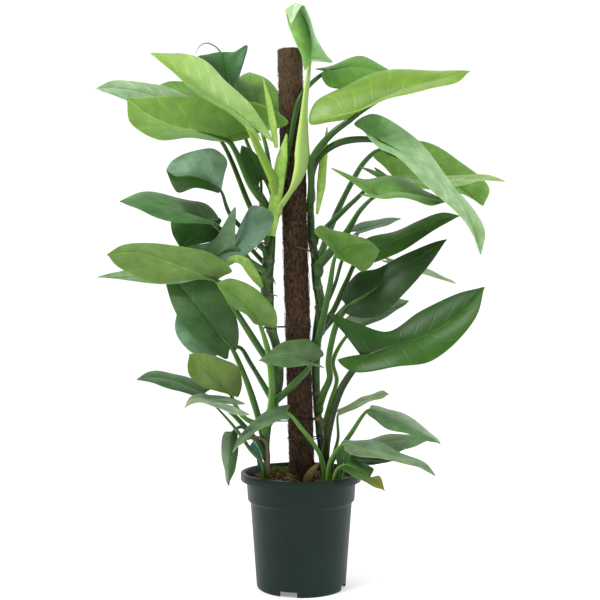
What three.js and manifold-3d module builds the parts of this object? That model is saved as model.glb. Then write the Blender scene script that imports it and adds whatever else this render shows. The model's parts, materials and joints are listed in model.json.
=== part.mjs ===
import * as THREE from 'three';
import Module from 'manifold-3d';

// A potted silver queen philodendron tied to a coir pole.
// Millimetres, +Z up, the pot stands on z = 0 with its axis on x = 0, y = 0,
// and the front of the plant looks along -Y.

// Driving dimensions
const POT_DIAMETER = 190;
const POT_HEIGHT = 180;
const SOIL_LEVEL = 166;
const POLE_DIAMETER = 40;
const POLE_LENGTH = 800;
const BLADE_THICKNESS = 1.2;
const CLEARANCE = 0.4;

// Where the plant is looked at from, to carry a place seen over the pot's axis to its own depth
const EYE_X = -2;
const EYE_Z = 450;
const EYE_DISTANCE = 1600;

const wasm = await Module();
wasm.setup();

const plant = new THREE.Group();

// Leaf and stem colours
const LIME = 0x9dc24f;
const PALE = 0xa4c79a;
const SPRING = 0x7aa646;
const SILVER = 0x7c9f80;
const GREEN = 0x5f8c46;
const DEEP = 0x3a5f2a;

// A place given as [seen x, seen z, depth y] becomes a point of the plant
function seen([x, z, depth]) {
  const spread = (EYE_DISTANCE + depth) / EYE_DISTANCE;
  return new THREE.Vector3(
    EYE_X + (x - EYE_X) * spread,
    depth,
    EYE_Z + (z - EYE_Z) * spread,
  );
}

function addNode(name, geometry, colour, roughness = 0.55) {
  const material = new THREE.MeshStandardMaterial({ color: colour, roughness, metalness: 0 });
  const mesh = new THREE.Mesh(geometry, material);
  mesh.name = name;
  plant.add(mesh);
  return mesh;
}

// Solids joined and cut
function toSolid(geometry) {
  const position = geometry.attributes.position;
  const keys = new Map();
  const points = [];
  const corners = [];
  const source = geometry.index ? Array.from(geometry.index.array) : [...Array(position.count).keys()];
  for (const i of source) {
    const at = [position.getX(i), position.getY(i), position.getZ(i)];
    const key = at.map((value) => Math.round(value * 1e4)).join(',');
    if (!keys.has(key)) {
      keys.set(key, points.length / 3);
      points.push(...at);
    }
    corners.push(keys.get(key));
  }
  const faces = [];
  for (let i = 0; i < corners.length; i += 3) {
    const [a, b, c] = corners.slice(i, i + 3);
    if (a !== b && b !== c && c !== a) {
      faces.push(a, b, c);
    }
  }
  return new wasm.Manifold(new wasm.Mesh({
    numProp: 3,
    vertProperties: new Float32Array(points),
    triVerts: new Uint32Array(faces),
  }));
}

function toGeometry(solid) {
  const mesh = solid.getMesh();
  const geometry = new THREE.BufferGeometry();
  geometry.setAttribute('position', new THREE.BufferAttribute(mesh.vertProperties, 3));
  geometry.setIndex(new THREE.BufferAttribute(mesh.triVerts, 1));
  return geometry;
}

function joined(geometries) {
  return toGeometry(geometries.map(toSolid).reduce((sum, next) => sum.add(next)));
}

// A list of numbers read as a smooth run, at a share of its length
function along(values, share) {
  const place = share * (values.length - 1);
  const first = Math.min(Math.floor(place), values.length - 2);
  return THREE.MathUtils.lerp(values[first], values[first + 1], place - first);
}

// A closed round or flattened tube through points, with its own radius all the way
function taperedTube(points, radii, { sides = 6, rings = 7, flat = 1 } = {}) {
  const path = new THREE.CatmullRomCurve3(points);
  const depthAxis = new THREE.Vector3(0, 1, 0);
  const corners = [];
  for (let i = 0; i <= rings; i += 1) {
    const centre = path.getPointAt(i / rings);
    const tangent = path.getTangentAt(i / rings);
    const across = tangent.clone().cross(depthAxis).normalize();
    const deep = across.clone().cross(tangent).normalize();
    const radius = along(radii, i / rings);
    for (let j = 0; j < sides; j += 1) {
      const angle = (j / sides) * 2 * Math.PI;
      corners.push(centre.clone()
        .addScaledVector(across, radius * Math.cos(angle))
        .addScaledVector(deep, radius * flat * Math.sin(angle)));
    }
  }
  const faces = [];
  for (let i = 0; i < rings; i += 1) {
    for (let j = 0; j < sides; j += 1) {
      const a = i * sides + j;
      const b = i * sides + ((j + 1) % sides);
      faces.push(a, a + sides, b, b, a + sides, b + sides);
    }
  }
  const last = rings * sides;
  for (let j = 1; j < sides - 1; j += 1) {
    faces.push(0, j, j + 1);
    faces.push(last, last + j + 1, last + j);
  }
  return outward(new THREE.BufferGeometry().setFromPoints(corners), faces);
}

// Faces turned so that the solid's volume is positive
function outward(geometry, faces) {
  const position = geometry.attributes.position;
  const [a, b, c] = [new THREE.Vector3(), new THREE.Vector3(), new THREE.Vector3()];
  let volume = 0;
  for (let i = 0; i < faces.length; i += 3) {
    a.fromBufferAttribute(position, faces[i]);
    b.fromBufferAttribute(position, faces[i + 1]);
    c.fromBufferAttribute(position, faces[i + 2]);
    volume += a.dot(b.cross(c));
  }
  geometry.setIndex(volume < 0 ? faces.slice().reverse() : faces);
  return geometry;
}

// A blade is a spine from heel to tip and two rims. Each rim is named by five places: the end
// of the lobe behind the heel, the shoulder beside the heel, and three down the side.
// A plain blade gets them from this outline: [share of the length, share of the half width]
const PLAIN_RIM = [[-1, 0.5], [0.08, 0.96], [0.36, 1], [0.64, 0.8], [0.86, 0.42]];
const RIM_STEPS = [0, 1, 2, 3, 3.5, 4.25, 5, 6, 7];
const SHOULDER = 3;
const RIM_SPANS = 7;
const FAN_CENTRE = 0.07;
const BULGE = 0.07;

// The frame of a plain blade: its heel, length, and the ways along, across and out of its face
function bladeFrame(leaf) {
  const heel = seen(leaf.heel);
  const ahead = seen(leaf.tip).sub(heel);
  const length = ahead.length();
  ahead.normalize();
  const face = new THREE.Vector3(...leaf.face);
  face.addScaledVector(ahead, -face.dot(ahead)).normalize();
  return { heel, length, ahead, face, left: face.clone().cross(ahead) };
}

// A point of a plain blade: share runs from the heel to the tip, wide from -1 to 1
function plainPoint(leaf, frame, share, wide) {
  const { arch = 0, sway = 0, fold = 12, twist = 0 } = leaf;
  const bow = share < 0 ? 4 * share : 4 * share * (1 - share);
  const turn = THREE.MathUtils.degToRad(twist) * (share - 0.5);
  const out = frame.face.clone().applyAxisAngle(frame.ahead, turn);
  const left = frame.left.clone().applyAxisAngle(frame.ahead, turn);
  const raise = THREE.MathUtils.degToRad(fold);
  const reach = Math.abs(wide) * leaf.width / 2;
  return frame.heel.clone()
    .addScaledVector(frame.ahead, share * frame.length)
    .addScaledVector(frame.face, arch * bow)
    .addScaledVector(frame.left, sway * bow)
    .addScaledVector(left, Math.sign(wide) * reach * Math.cos(raise))
    .addScaledVector(out, reach * Math.sin(raise));
}

function plainForm(leaf) {
  const frame = bladeFrame(leaf);
  const lobe = leaf.lobe ?? 0.26;
  const spine = [0, 0.25, 0.5, 0.75, 1].map((share) => plainPoint(leaf, frame, share, 0));
  const rim = (side) => PLAIN_RIM.map(([share, wide]) => (
    plainPoint(leaf, frame, share < 0 ? -lobe : share, side * wide)));
  return { spine, rims: [rim(1), rim(-1)] };
}

// Spine and rims of a leaf as smooth curves, with the way that its face looks
function leafForm(leaf) {
  const { spine, rims } = leaf.spine
    ? { spine: leaf.spine.map(seen), rims: [leaf.near.map(seen), leaf.far.map(seen)] }
    : plainForm(leaf);
  const [heel, tip] = [spine[0], spine[spine.length - 1]];
  const curves = rims.map((rim) => {
    const inner = heel.clone().lerp(rim[0], 0.5);
    return new THREE.CatmullRomCurve3([heel, inner, ...rim, tip]);
  });
  const ahead = tip.clone().sub(heel).normalize();
  const across = rims[0][2].clone().sub(rims[1][2]);
  const face = ahead.clone().cross(across).normalize();
  if (face.dot(new THREE.Vector3(0, -0.4, 1)) < 0) {
    face.negate();
  }
  return { spine: new THREE.CatmullRomCurve3(spine), rims: curves, face };
}

// A point of a blade: step runs round the rim from the heel to the tip, s from spine to rim
function bladePoint(form, rim, step, s) {
  const climb = Math.max(0, step - SHOULDER) / (RIM_SPANS - SHOULDER);
  const inside = form.spine.getPoint(THREE.MathUtils.lerp(FAN_CENTRE, 1, climb));
  const outside = rim.getPoint(step / RIM_SPANS);
  const rise = BULGE * inside.distanceTo(outside) * 4 * s * (1 - s);
  return inside.lerp(outside, s).addScaledVector(form.face, rise);
}

// The middle surface of a blade: a fan about the heel for each lobe, then rungs to the tip
function bladeSurface(form) {
  const columns = [0, 0.5, 1];
  const points = [];
  const faces = [];
  const known = new Map();
  const vertex = (key, make) => {
    if (!known.has(key)) {
      known.set(key, points.length);
      points.push(make());
    }
    return known.get(key);
  };
  form.rims.forEach((rim, side) => {
    const rows = RIM_STEPS.map((step) => columns.map((s) => {
      const shared = step === 0 || s === 0;
      const place = s === 0 ? Math.max(step, SHOULDER) : step;
      const key = step === RIM_SPANS ? 'tip' : `${shared ? 'both' : side},${place},${s}`;
      return vertex(key, () => bladePoint(form, rim, step, s));
    }));
    for (let i = 0; i < rows.length - 1; i += 1) {
      for (let j = 0; j < columns.length - 1; j += 1) {
        const [a, b] = [rows[i][j], rows[i][j + 1]];
        const [c, d] = [rows[i + 1][j], rows[i + 1][j + 1]];
        const pair = [[a, b, d], [a, d, c]].filter(([p, q, r]) => p !== q && q !== r && r !== p);
        for (const [p, q, r] of pair) {
          faces.push(...(side === 0 ? [p, q, r] : [p, r, q]));
        }
      }
    }
  });
  return { points, faces };
}

// A surface given its thickness, half to each side, with a rim round its edge
function thickened({ points, faces }, thickness) {
  const surface = new THREE.BufferGeometry().setFromPoints(points);
  surface.setIndex(faces);
  surface.computeVertexNormals();
  const normals = surface.attributes.normal;
  const corners = [];
  for (const side of [0.5, -0.5]) {
    points.forEach((point, i) => {
      const normal = new THREE.Vector3().fromBufferAttribute(normals, i);
      corners.push(point.clone().addScaledVector(normal, side * thickness));
    });
  }
  const count = points.length;
  const solid = [];
  const edges = new Map();
  for (let i = 0; i < faces.length; i += 3) {
    const [a, b, c] = faces.slice(i, i + 3);
    solid.push(a, b, c, a + count, c + count, b + count);
    for (const [p, q] of [[a, b], [b, c], [c, a]]) {
      edges.set(`${p},${q}`, [p, q]);
    }
  }
  for (const [p, q] of edges.values()) {
    if (!edges.has(`${q},${p}`)) {
      solid.push(p, p + count, q, q, p + count, q + count);
    }
  }
  return outward(new THREE.BufferGeometry().setFromPoints(corners), solid);
}

// The run of a leaf stalk from its foot to a little way under the midrib
function stalkPoints(leaf, form) {
  const under = (share, drop) => form.spine.getPoint(share).addScaledVector(form.face, -drop);
  const points = [...leaf.run.map(seen), under(0, 0.6 * leaf.stalk.at(-1)), under(0.13, 0.4)];
  return leaf.on ? seat(points, stalkRadii(leaf), stalkTube(leaf), HOSTS.get(leaf.on)) : points;
}

function stalkTube(leaf) {
  return leaf.tube ?? { sides: 5, rings: 6 };
}

function stalkRadii(leaf) {
  return [...leaf.stalk, leaf.stalk.at(-1) * 0.6];
}

function addLeaf(leaf) {
  const form = leafForm(leaf);
  const pieces = [
    thickened(bladeSurface(form), BLADE_THICKNESS),
    taperedTube(stalkPoints(leaf, form), stalkRadii(leaf), stalkTube(leaf)),
  ];
  if (leaf.tail) {
    const tail = [form.spine.getPoint(0.9), ...leaf.tail.map(seen)];
    pieces.push(taperedTube(tail, [1.4, 1.2, 0.8, 0.5], { sides: 4, rings: 6 }));
  }
  addNode(leaf.name, joined(pieces), leaf.colour);
}

// The two stems, thick and knotted, that bear the leaves
const STEM_LEFT = {
  run: [
    [-55, 130, -18], [-54, 195, -18], [-55, 229, -18], [-49, 273, -18], [-35, 316, -19],
    [-38, 371, -19], [-49, 411, -18], [-54, 466, -18], [-52, 507, -19], [-48, 536, -20],
    [-46, 566, -9], [-44, 606, -5], [-42, 644, -3],
  ],
  radii: [5, 5, 5.5, 6.5, 6, 6.5, 7, 9.5, 10, 9, 6, 5, 3],
};
const STEM_RIGHT = {
  run: [
    [38, 130, 10], [34, 201, 11], [27, 261, 12], [23, 324, 14], [24, 387, 13],
    [30, 442, 11], [24, 482, 11], [22, 516, 12], [17, 545, 12], [15, 584, 12], [14, 628, 12],
  ],
  radii: [5, 6, 6, 6, 6.5, 7.5, 8, 7.5, 6.5, 6, 3],
};

// What bears leaves, by name: its run, its radii and its solid
const HOSTS = new Map();

// Where a host is at a height, and how thick
function hostAt(host, height) {
  const path = new THREE.CatmullRomCurve3(host.run.map(seen));
  let share = 0;
  while (share < 0.99 && path.getPointAt(share).z < height) {
    share += 0.01;
  }
  return { centre: path.getPointAt(share), radius: along(host.radii, share) };
}

// The first point of a tube, brought up level until the tube just clears its host
function seat(points, radii, tube, host) {
  const foot = points[0];
  const { centre, radius } = hostAt(host, foot.z);
  const inward = centre.clone().sub(foot).setZ(0).normalize();
  foot.copy(centre.setZ(foot.z).addScaledVector(inward, -radius - radii[0] - CLEARANCE));
  for (let i = 0; i < 12; i += 1) {
    const gap = toSolid(taperedTube(points, radii, tube)).minGap(host.solid, 20);
    if (gap > 0 && Math.abs(gap - CLEARANCE) < 0.08) {
      break;
    }
    foot.addScaledVector(inward, gap > 0 ? 0.9 * (gap - CLEARANCE) : -0.5);
  }
  return points;
}

// Short roots grown from the joints of the stems
const LEFT_ROOTS = [
  [[-52, 535, -24], [-62, 540, -34], [-74, 526, -40]],
  [[-54, 482, -24], [-46, 486, -32], [-40, 474, -35]],
  [[-54, 462, -24], [-44, 458, -33], [-36, 456, -34]],
];
const RIGHT_ROOTS = [
  [[26, 442, 6], [22, 438, -8], [28, 424, -12]],
  [[28, 262, 8], [30, 268, -4], [37, 246, -8]],
];

function addStem(name, stem, roots, colour) {
  const trunk = taperedTube(stem.run.map(seen), stem.radii, { sides: 8, rings: 22 });
  const threads = roots.map((root) => taperedTube(root.map(seen), [1.6, 1.3, 0.7], { sides: 4, rings: 4 }));
  const geometry = joined([trunk, ...threads]);
  HOSTS.set(name, { ...stem, solid: toSolid(geometry) });
  addNode(name, geometry, colour);
}
addStem('stem_left', STEM_LEFT, LEFT_ROOTS, 0x44662c);
addStem('stem_right', STEM_RIGHT, RIGHT_ROOTS, 0x2f4a22);

// Pale sheaths that wrap the growing ends
function addSheath(name, run, radii, colour, tube, on) {
  const points = run.map(seen);
  const geometry = taperedTube(on ? seat(points, radii, tube, HOSTS.get(on)) : points, radii, tube);
  HOSTS.set(name, { run, radii, solid: toSolid(geometry) });
  addNode(name, geometry, colour);
}
addSheath(
  'sheath_left',
  [[-47, 551, -29], [-43, 584, -25], [-38, 624, -28], [-32, 663, -33], [-23, 712, -34]],
  [6, 10, 10, 9, 1.5],
  0xa9c46a,
  { sides: 8, rings: 9, flat: 0.6 },
  'stem_left',
);
addSheath(
  'sheath_right',
  [[26, 585, -4], [31, 625, -6], [34, 660, -8], [41, 722, -8]],
  [2, 7, 6, 1],
  0x9cba5c,
  { sides: 6, rings: 7, flat: 0.4 },
  'stem_right',
);

// Leaves, each one stalk and one blade. run is the stalk from its foot towards the heel.
// Places are [seen x, seen z, depth y]. near and far are the rims towards and away from the
// front; a plain blade has heel, tip, width and face, the way that its upper side looks.
const LEAVES = [
  {
    name: 'leaf_left_far_pale', on: 'stem_left', colour: PALE, stalk: [4.5, 4, 3.25],
    run: [[-62, 545, -10], [-81, 598, 12], [-125, 699, 42]],
    spine: [[-166, 746, 58], [-215, 765, 56], [-254, 778, 52], [-294, 784, 46], [-324, 784, 40]],
    near: [[-141, 746, 40], [-175, 769, 24], [-215, 785, 20], [-254, 795, 22], [-298, 795, 30]],
    far: [[-141, 734, 70], [-175, 740, 88], [-223, 753, 88], [-267, 762, 78], [-302, 774, 60]],
  },
  {
    name: 'leaf_left_broad', on: 'stem_left', colour: SPRING, stalk: [5.25, 4.5, 4],
    run: [[-57, 592, -26], [-78, 628, -26]],
    spine: [[-112, 699, -15], [-160, 716, -15], [-204, 726, -17], [-242, 743, -20], [-275, 769, -28]],
    near: [[-20, 730, -24], [-60, 756, -26], [-136, 767, -42], [-191, 770, -47], [-242, 769, -42]],
    far: [[-66, 710, 10], [-125, 699, 22], [-175, 707, 25], [-227, 702, 22], [-268, 729, 5]],
  },
  {
    name: 'leaf_left_bright', on: 'sheath_left', colour: LIME, stalk: [6.5, 6, 5],
    run: [[-51, 640, -42], [-66, 686, -56]],
    spine: [[-85, 731, -70], [-120, 756, -72], [-160, 783, -74], [-197, 809, -72], [-237, 840, -64]],
    near: [[-62, 702, -96], [-97, 732, -108], [-131, 754, -114], [-172, 784, -112], [-210, 814, -96]],
    far: [[-44, 700, -54], [-71, 745, -48], [-113, 790, -42], [-147, 824, -40], [-191, 838, -44]],
  },
  {
    name: 'leaf_back_round', on: 'stem_left', colour: GREEN, stalk: [4.5, 3.75, 3.25],
    run: [[-42, 604, 6], [-55, 690, 32]],
    spine: [[-68, 737, 44], [-71, 759, 62], [-76, 778, 82], [-79, 794, 104], [-81, 809, 128]],
    near: [[-49, 731, 40], [-32, 750, 56], [-32, 769, 74], [-43, 787, 96], [-62, 803, 118]],
    far: [[-87, 731, 40], [-106, 753, 56], [-107, 775, 76], [-101, 794, 98], [-92, 806, 118]],
  },
  {
    name: 'leaf_left_high_dark', on: 'stem_left', colour: DEEP, stalk: [3.75, 3.25, 2.75],
    run: [[-68, 624, 0], [-86, 700, 44]],
    spine: [[-111, 786, 26], [-114, 800, 36], [-119, 816, 48], [-122, 830, 60], [-125, 841, 72]],
    near: [[-103, 781, 18], [-96, 806, 24], [-90, 828, 34], [-85, 851, 46], [-103, 842, 60]],
    far: [[-125, 784, 20], [-141, 800, 28], [-155, 816, 38], [-163, 832, 50], [-147, 838, 62]],
    tail: [[-136, 850, 80], [-149, 855, 80], [-160, 850, 76], [-167, 838, 72]],
  },
  {
    name: 'leaf_left_behind', on: 'stem_left', colour: SPRING, stalk: [3.5, 3.25, 3],
    run: [[-62, 590, 12], [-105, 690, 66]],
    heel: [-146, 762, 104], tip: [-222, 790, 120], face: [0, -0.7, 0.7], width: 62,
  },
  {
    name: 'leaf_top_rolled', on: 'sheath_left', colour: PALE, stalk: [4, 9, 12, 9, 6, 4.5, 4],
    tube: { sides: 8, rings: 9, flat: 0.55 },
    run: [[-24, 596, -36], [-11, 631, -37], [0, 663, -37], [2, 700, -37], [5, 750, -35], [10, 797, -31]],
    spine: [[14, 826, -26], [16, 847, -14], [11, 879, -10], [-9, 918, -22], [-16, 885, -44]],
    near: [[6, 812, -38], [1, 835, -42], [-11, 860, -44], [-20, 884, -42], [-25, 908, -38]],
    far: [[50, 825, -28], [39, 838, -34], [23, 866, -40], [14, 896, -42], [3, 915, -38]],
  },
  {
    name: 'leaf_right_high_behind', on: 'sheath_left', colour: GREEN, stalk: [3.75, 3.75, 3.75, 3.75, 3.75],
    run: [[-23, 650, -25], [-17, 700, -25], [-11, 735, -26], [0, 772, -26]],
    spine: [[39, 811, 10], [69, 817, 24], [96, 815, 36], [121, 811, 46], [146, 806, 52]],
    near: [[31, 805, -2], [41, 787, -8], [66, 784, 0], [96, 791, 16], [124, 798, 34]],
    far: [[22, 813, 14], [47, 819, 32], [77, 832, 50], [99, 833, 62], [129, 819, 62]],
  },
  {
    name: 'leaf_right_broad_lime', on: 'stem_right', colour: LIME, stalk: [5.25, 5.25, 5.25, 5.25, 4.5],
    run: [[14, 600, 2], [16, 634, -18], [17, 671, -34], [45, 709, -46]],
    spine: [[77, 737, -50], [124, 765, -54], [168, 786, -58], [216, 797, -62], [266, 811, -66]],
    near: [[33, 733, -84], [96, 748, -98], [140, 770, -106], [195, 780, -100], [242, 792, -84]],
    far: [[14, 726, -40], [23, 761, -28], [69, 789, -14], [132, 810, -14], [211, 813, -34]],
  },
  {
    name: 'leaf_right_drooping', on: 'stem_right', colour: SILVER, stalk: [4.75, 4.75, 5.5, 5.5, 4.75],
    run: [[19, 616, 6], [16, 640, -4], [26, 672, -16], [60, 698, -44]],
    spine: [[110, 705, -66], [153, 685, -78], [200, 657, -86], [250, 606, -90], [284, 522, -88]],
    near: [[102, 709, -92], [121, 691, -108], [148, 679, -118], [195, 631, -122], [256, 578, -112]],
    far: [[83, 727, -36], [115, 744, -46], [176, 708, -54], [232, 640, -66], [288, 566, -80]],
  },
  {
    name: 'leaf_right_olive', on: 'stem_right', colour: GREEN, stalk: [5.25, 5.25, 4.5, 4.5, 4],
    run: [[33, 516, 14], [45, 560, 26], [58, 592, 34], [80, 636, 44], [100, 668, 52]],
    spine: [[123, 686, 56], [164, 671, 68], [206, 652, 80], [247, 630, 90], [287, 598, 96]],
    near: [[113, 677, 54], [131, 660, 56], [159, 633, 62], [206, 623, 74], [254, 617, 86]],
    far: [[118, 699, 52], [148, 702, 60], [200, 698, 72], [247, 671, 84], [296, 627, 94]],
  },
  {
    name: 'leaf_right_level', on: 'stem_right', colour: PALE, stalk: [4.5, 3.75, 3],
    run: [[33, 548, 8], [82, 605, 4]],
    spine: [[124, 642, 2], [175, 642, 6], [225, 641, 10], [276, 641, 16], [321, 638, 22]],
    near: [[93, 658, -4], [132, 646, -22], [175, 645, -24], [228, 644, -18], [288, 649, -4]],
    far: [[115, 658, 16], [143, 642, 34], [179, 634, 38], [235, 629, 40], [285, 639, 34]],
  },
  {
    name: 'leaf_right_mid', on: 'stem_right', colour: GREEN, stalk: [7, 5.75, 5.25, 4, 3.5],
    run: [[32, 506, 0], [50, 530, -6], [72, 557, -16], [92, 590, -50]],
    spine: [[112, 612, -70], [140, 620, -74], [168, 619, -78], [200, 612, -80], [231, 605, -80]],
    near: [[93, 614, -92], [124, 610, -108], [149, 612, -112], [178, 606, -108], [206, 600, -98]],
    far: [[47, 657, -46], [96, 642, -40], [135, 645, -36], [172, 636, -42], [203, 619, -62]],
  },
  {
    name: 'leaf_centre_right', on: 'stem_right', colour: SPRING, stalk: [5, 5, 4.5, 3.75],
    run: [[27, 384, 2], [34, 418, -10], [44, 466, -34]],
    spine: [[56, 522, -62], [74, 535, -50], [90, 541, -36], [108, 538, -22], [124, 528, -12]],
    near: [[53, 518, -76], [80, 504, -70], [96, 496, -60], [107, 500, -46], [118, 516, -26]],
    far: [[20, 557, -66], [30, 567, -54], [55, 560, -42], [80, 552, -32], [105, 545, -20]],
  },
  {
    name: 'leaf_right_dark_upper', on: 'stem_right', colour: DEEP, stalk: [4.5, 4.5, 3.75, 3.75],
    run: [[36, 408, 16], [52, 436, 18], [70, 476, 18]],
    spine: [[93, 522, 16], [137, 540, 24], [179, 559, 32], [219, 576, 38], [250, 583, 42]],
    near: [[86, 510, 8], [113, 508, 6], [150, 523, 12], [187, 545, 20], [222, 567, 28]],
    far: [[80, 532, 22], [108, 548, 34], [148, 559, 44], [187, 575, 50], [224, 588, 46]],
  },
  {
    name: 'leaf_right_slim', on: 'stem_right', colour: SILVER, stalk: [3.5, 3, 3, 2.5],
    run: [[36, 430, 24], [53, 474, 34], [66, 516, 44]],
    heel: [92, 558, 62], tip: [157, 579, 110], face: [0, -0.3, 0.95], width: 44,
  },
  {
    name: 'leaf_right_dark_broad', on: 'stem_right', colour: DEEP, stalk: [5.5, 4.75, 4.75, 4.75, 4.75],
    run: [[33, 285, 2], [36, 305, -2], [45, 327, -6], [43, 352, -10], [57, 415, -16]],
    spine: [[72, 439, -16], [112, 464, -14], [153, 494, -12], [194, 521, -8], [230, 546, -2]],
    near: [[69, 430, -20], [86, 423, -26], [124, 426, -30], [164, 461, -28], [203, 507, -16]],
    far: [[63, 453, -12], [90, 493, -2], [121, 500, 2], [164, 522, 2], [203, 539, 2]],
  },
  {
    name: 'leaf_right_small_pale', on: 'stem_right', colour: PALE, stalk: [3.5, 3, 2.5],
    run: [[36, 396, 26], [95, 465, 54]],
    heel: [150, 505, 70], tip: [244, 477, 80], face: [0, -0.3, 0.95], width: 40,
  },
  {
    name: 'leaf_right_grey_fold', on: 'stem_right', colour: SILVER, stalk: [4.25, 3.5, 3.5, 3.5, 3],
    run: [[38, 243, 20], [47, 292, 24], [56, 324, 28], [50, 352, 28], [69, 390, 30]],
    heel: [90, 410, 34], tip: [170, 449, 70], face: [0, -0.6, 0.8], width: 50, fold: 30,
  },
  {
    name: 'leaf_right_low_broad', on: 'stem_right', colour: GREEN, stalk: [6, 6, 6, 5.5, 4.75],
    run: [[42, 190, -8], [42, 237, -12], [53, 284, -22], [68, 319, -36]],
    spine: [[97, 358, -55], [153, 381, -62], [200, 396, -66], [247, 426, -64], [289, 471, -56]],
    near: [[58, 355, -72], [80, 338, -80], [148, 344, -90], [205, 354, -90], [275, 422, -78]],
    far: [[44, 429, -52], [86, 415, -50], [137, 399, -50], [187, 433, -44], [244, 458, -46]],
  },
  {
    name: 'leaf_front_small', on: 'stem_left', colour: SILVER, stalk: [5.5, 5.5, 4.75],
    run: [[-39, 289, -38], [-18, 311, -42]],
    spine: [[15, 349, -52], [-5, 360, -66], [-25, 365, -78], [-46, 362, -88], [-66, 355, -96]],
    near: [[37, 344, -70], [17, 348, -84], [-3, 345, -94], [-25, 345, -100], [-48, 348, -102]],
    far: [[36, 365, -44], [17, 384, -40], [-2, 388, -46], [-22, 386, -54], [-48, 370, -74]],
  },
  {
    name: 'leaf_left_near_light', on: 'stem_left', colour: SPRING, stalk: [5.25, 5.25, 5.25, 4],
    run: [[-47, 266, -34], [-46, 316, -48], [-52, 368, -50]],
    spine: [[-63, 410, -58], [-78, 433, -70], [-95, 452, -82], [-114, 467, -92], [-133, 477, -102]],
    near: [[-73, 412, -68], [-87, 426, -84], [-104, 437, -94], [-119, 453, -104], [-128, 466, -106]],
    far: [[-41, 407, -52], [-41, 431, -46], [-55, 453, -52], [-78, 471, -66], [-112, 484, -90]],
  },
  {
    name: 'leaf_left_long_light', on: 'stem_left', colour: SPRING, stalk: [5.25, 5.25, 4.5, 4],
    run: [[-50, 338, -26], [-62, 368, -34], [-109, 442, -66]],
    spine: [[-133, 481, -76], [-166, 494, -84], [-210, 511, -90], [-257, 526, -96], [-306, 522, -100]],
    near: [[-109, 496, -84], [-134, 519, -106], [-175, 531, -120], [-230, 540, -124], [-283, 535, -116]],
    far: [[-119, 477, -62], [-148, 481, -56], [-191, 481, -54], [-235, 477, -60], [-286, 500, -80]],
  },
  {
    name: 'leaf_left_mid', on: 'stem_left', colour: SILVER, stalk: [4.5, 4.5, 4.5, 3.75],
    run: [[-66, 484, -20], [-100, 536, -24], [-126, 560, -34]],
    spine: [[-141, 575, -48], [-175, 587, -52], [-215, 598, -58], [-254, 606, -64], [-286, 606, -68]],
    near: [[-137, 571, -58], [-155, 571, -78], [-186, 570, -92], [-226, 581, -98], [-260, 593, -90]],
    far: [[-130, 578, -38], [-145, 597, -24], [-175, 607, -18], [-223, 619, -26], [-260, 617, -44]],
  },
  {
    name: 'leaf_left_shaded', on: 'stem_left', colour: DEEP, stalk: [3.5, 3.5, 3],
    run: [[-64, 508, -8], [-95, 545, 0]],
    spine: [[-130, 563, 2], [-148, 560, 4], [-166, 554, 6], [-180, 545, 8], [-190, 531, 8]],
    near: [[-122, 554, -2], [-134, 545, -4], [-150, 540, -2], [-166, 537, 2], [-178, 533, 5]],
    far: [[-126, 576, 6], [-150, 589, 10], [-178, 589, 12], [-204, 579, 12], [-203, 556, 10]],
  },
  {
    name: 'leaf_left_two_lobed', on: 'stem_left', colour: SILVER, stalk: [4.75, 4.25, 3.5],
    run: [[-66, 496, -36], [-84, 514, -46]],
    spine: [[-104, 534, -50], [-125, 526, -46], [-160, 510, -38], [-223, 494, -18], [-322, 486, 10]],
    near: [[-78, 597, -52], [-44, 584, -50], [-52, 557, -54], [-100, 510, -58], [-191, 478, -28]],
    far: [[-104, 595, -46], [-122, 570, -46], [-141, 543, -42], [-183, 532, -30], [-270, 500, -2]],
  },
  {
    name: 'leaf_left_folded_grey', on: 'stem_left', colour: SILVER, stalk: [4.25, 3.5, 3],
    run: [[-64, 528, -26], [-112, 585, -34]],
    spine: [[-126, 623, -34], [-149, 638, -38], [-175, 647, -42], [-199, 646, -42], [-213, 655, -38]],
    near: [[-130, 619, -58], [-141, 623, -72], [-167, 626, -80], [-191, 620, -76], [-202, 628, -60]],
    far: [[-117, 671, -22], [-136, 688, -18], [-160, 686, -14], [-182, 682, -14], [-204, 668, -22]],
  },
  {
    name: 'leaf_left_inner', on: 'stem_left', colour: DEEP, stalk: [3.25, 3.25, 2.75],
    run: [[-58, 562, -6], [-63, 600, -4]],
    heel: [-64, 640, -1], tip: [-94, 694, -1], face: [-0.3, -0.9, 0.2], width: 34, lobe: 0.12,
  },
  {
    name: 'leaf_left_low_dark', on: 'stem_left', colour: DEEP, stalk: [5.25, 5.25, 4.5, 4],
    run: [[-64, 236, -10], [-72, 280, -10], [-88, 327, -22]],
    spine: [[-112, 378, -34], [-134, 403, -30], [-161, 437, -20], [-189, 470, -4], [-219, 504, 12]],
    near: [[-103, 371, -34], [-98, 396, -38], [-104, 428, -38], [-122, 463, -30], [-166, 497, -4]],
    far: [[-117, 357, -36], [-147, 374, -36], [-175, 396, -32], [-199, 433, -18], [-213, 474, 0]],
  },
  {
    name: 'leaf_left_low_behind', on: 'stem_left', colour: PALE, stalk: [4.5, 3.75, 3.75, 3],
    run: [[-50, 294, -6], [-80, 350, 4], [-97, 375, 12]],
    spine: [[-122, 373, 22], [-141, 382, 24], [-160, 395, 26], [-179, 411, 28], [-196, 429, 30]],
    near: [[-133, 362, 10], [-153, 362, 6], [-174, 368, 6], [-191, 385, 10], [-199, 407, 18]],
    far: [[-112, 385, 32], [-125, 406, 40], [-144, 420, 44], [-163, 428, 42], [-180, 433, 36]],
  },
  {
    name: 'leaf_left_low_light', on: 'stem_left', colour: SPRING, stalk: [4.5, 3.75, 3.75, 3],
    run: [[-66, 249, -28], [-89, 264, -44], [-104, 284, -58]],
    spine: [[-109, 299, -68], [-126, 317, -76], [-144, 335, -84], [-161, 351, -90], [-176, 365, -94]],
    near: [[-120, 303, -80], [-139, 308, -90], [-158, 314, -98], [-175, 329, -102], [-179, 347, -100]],
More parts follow.
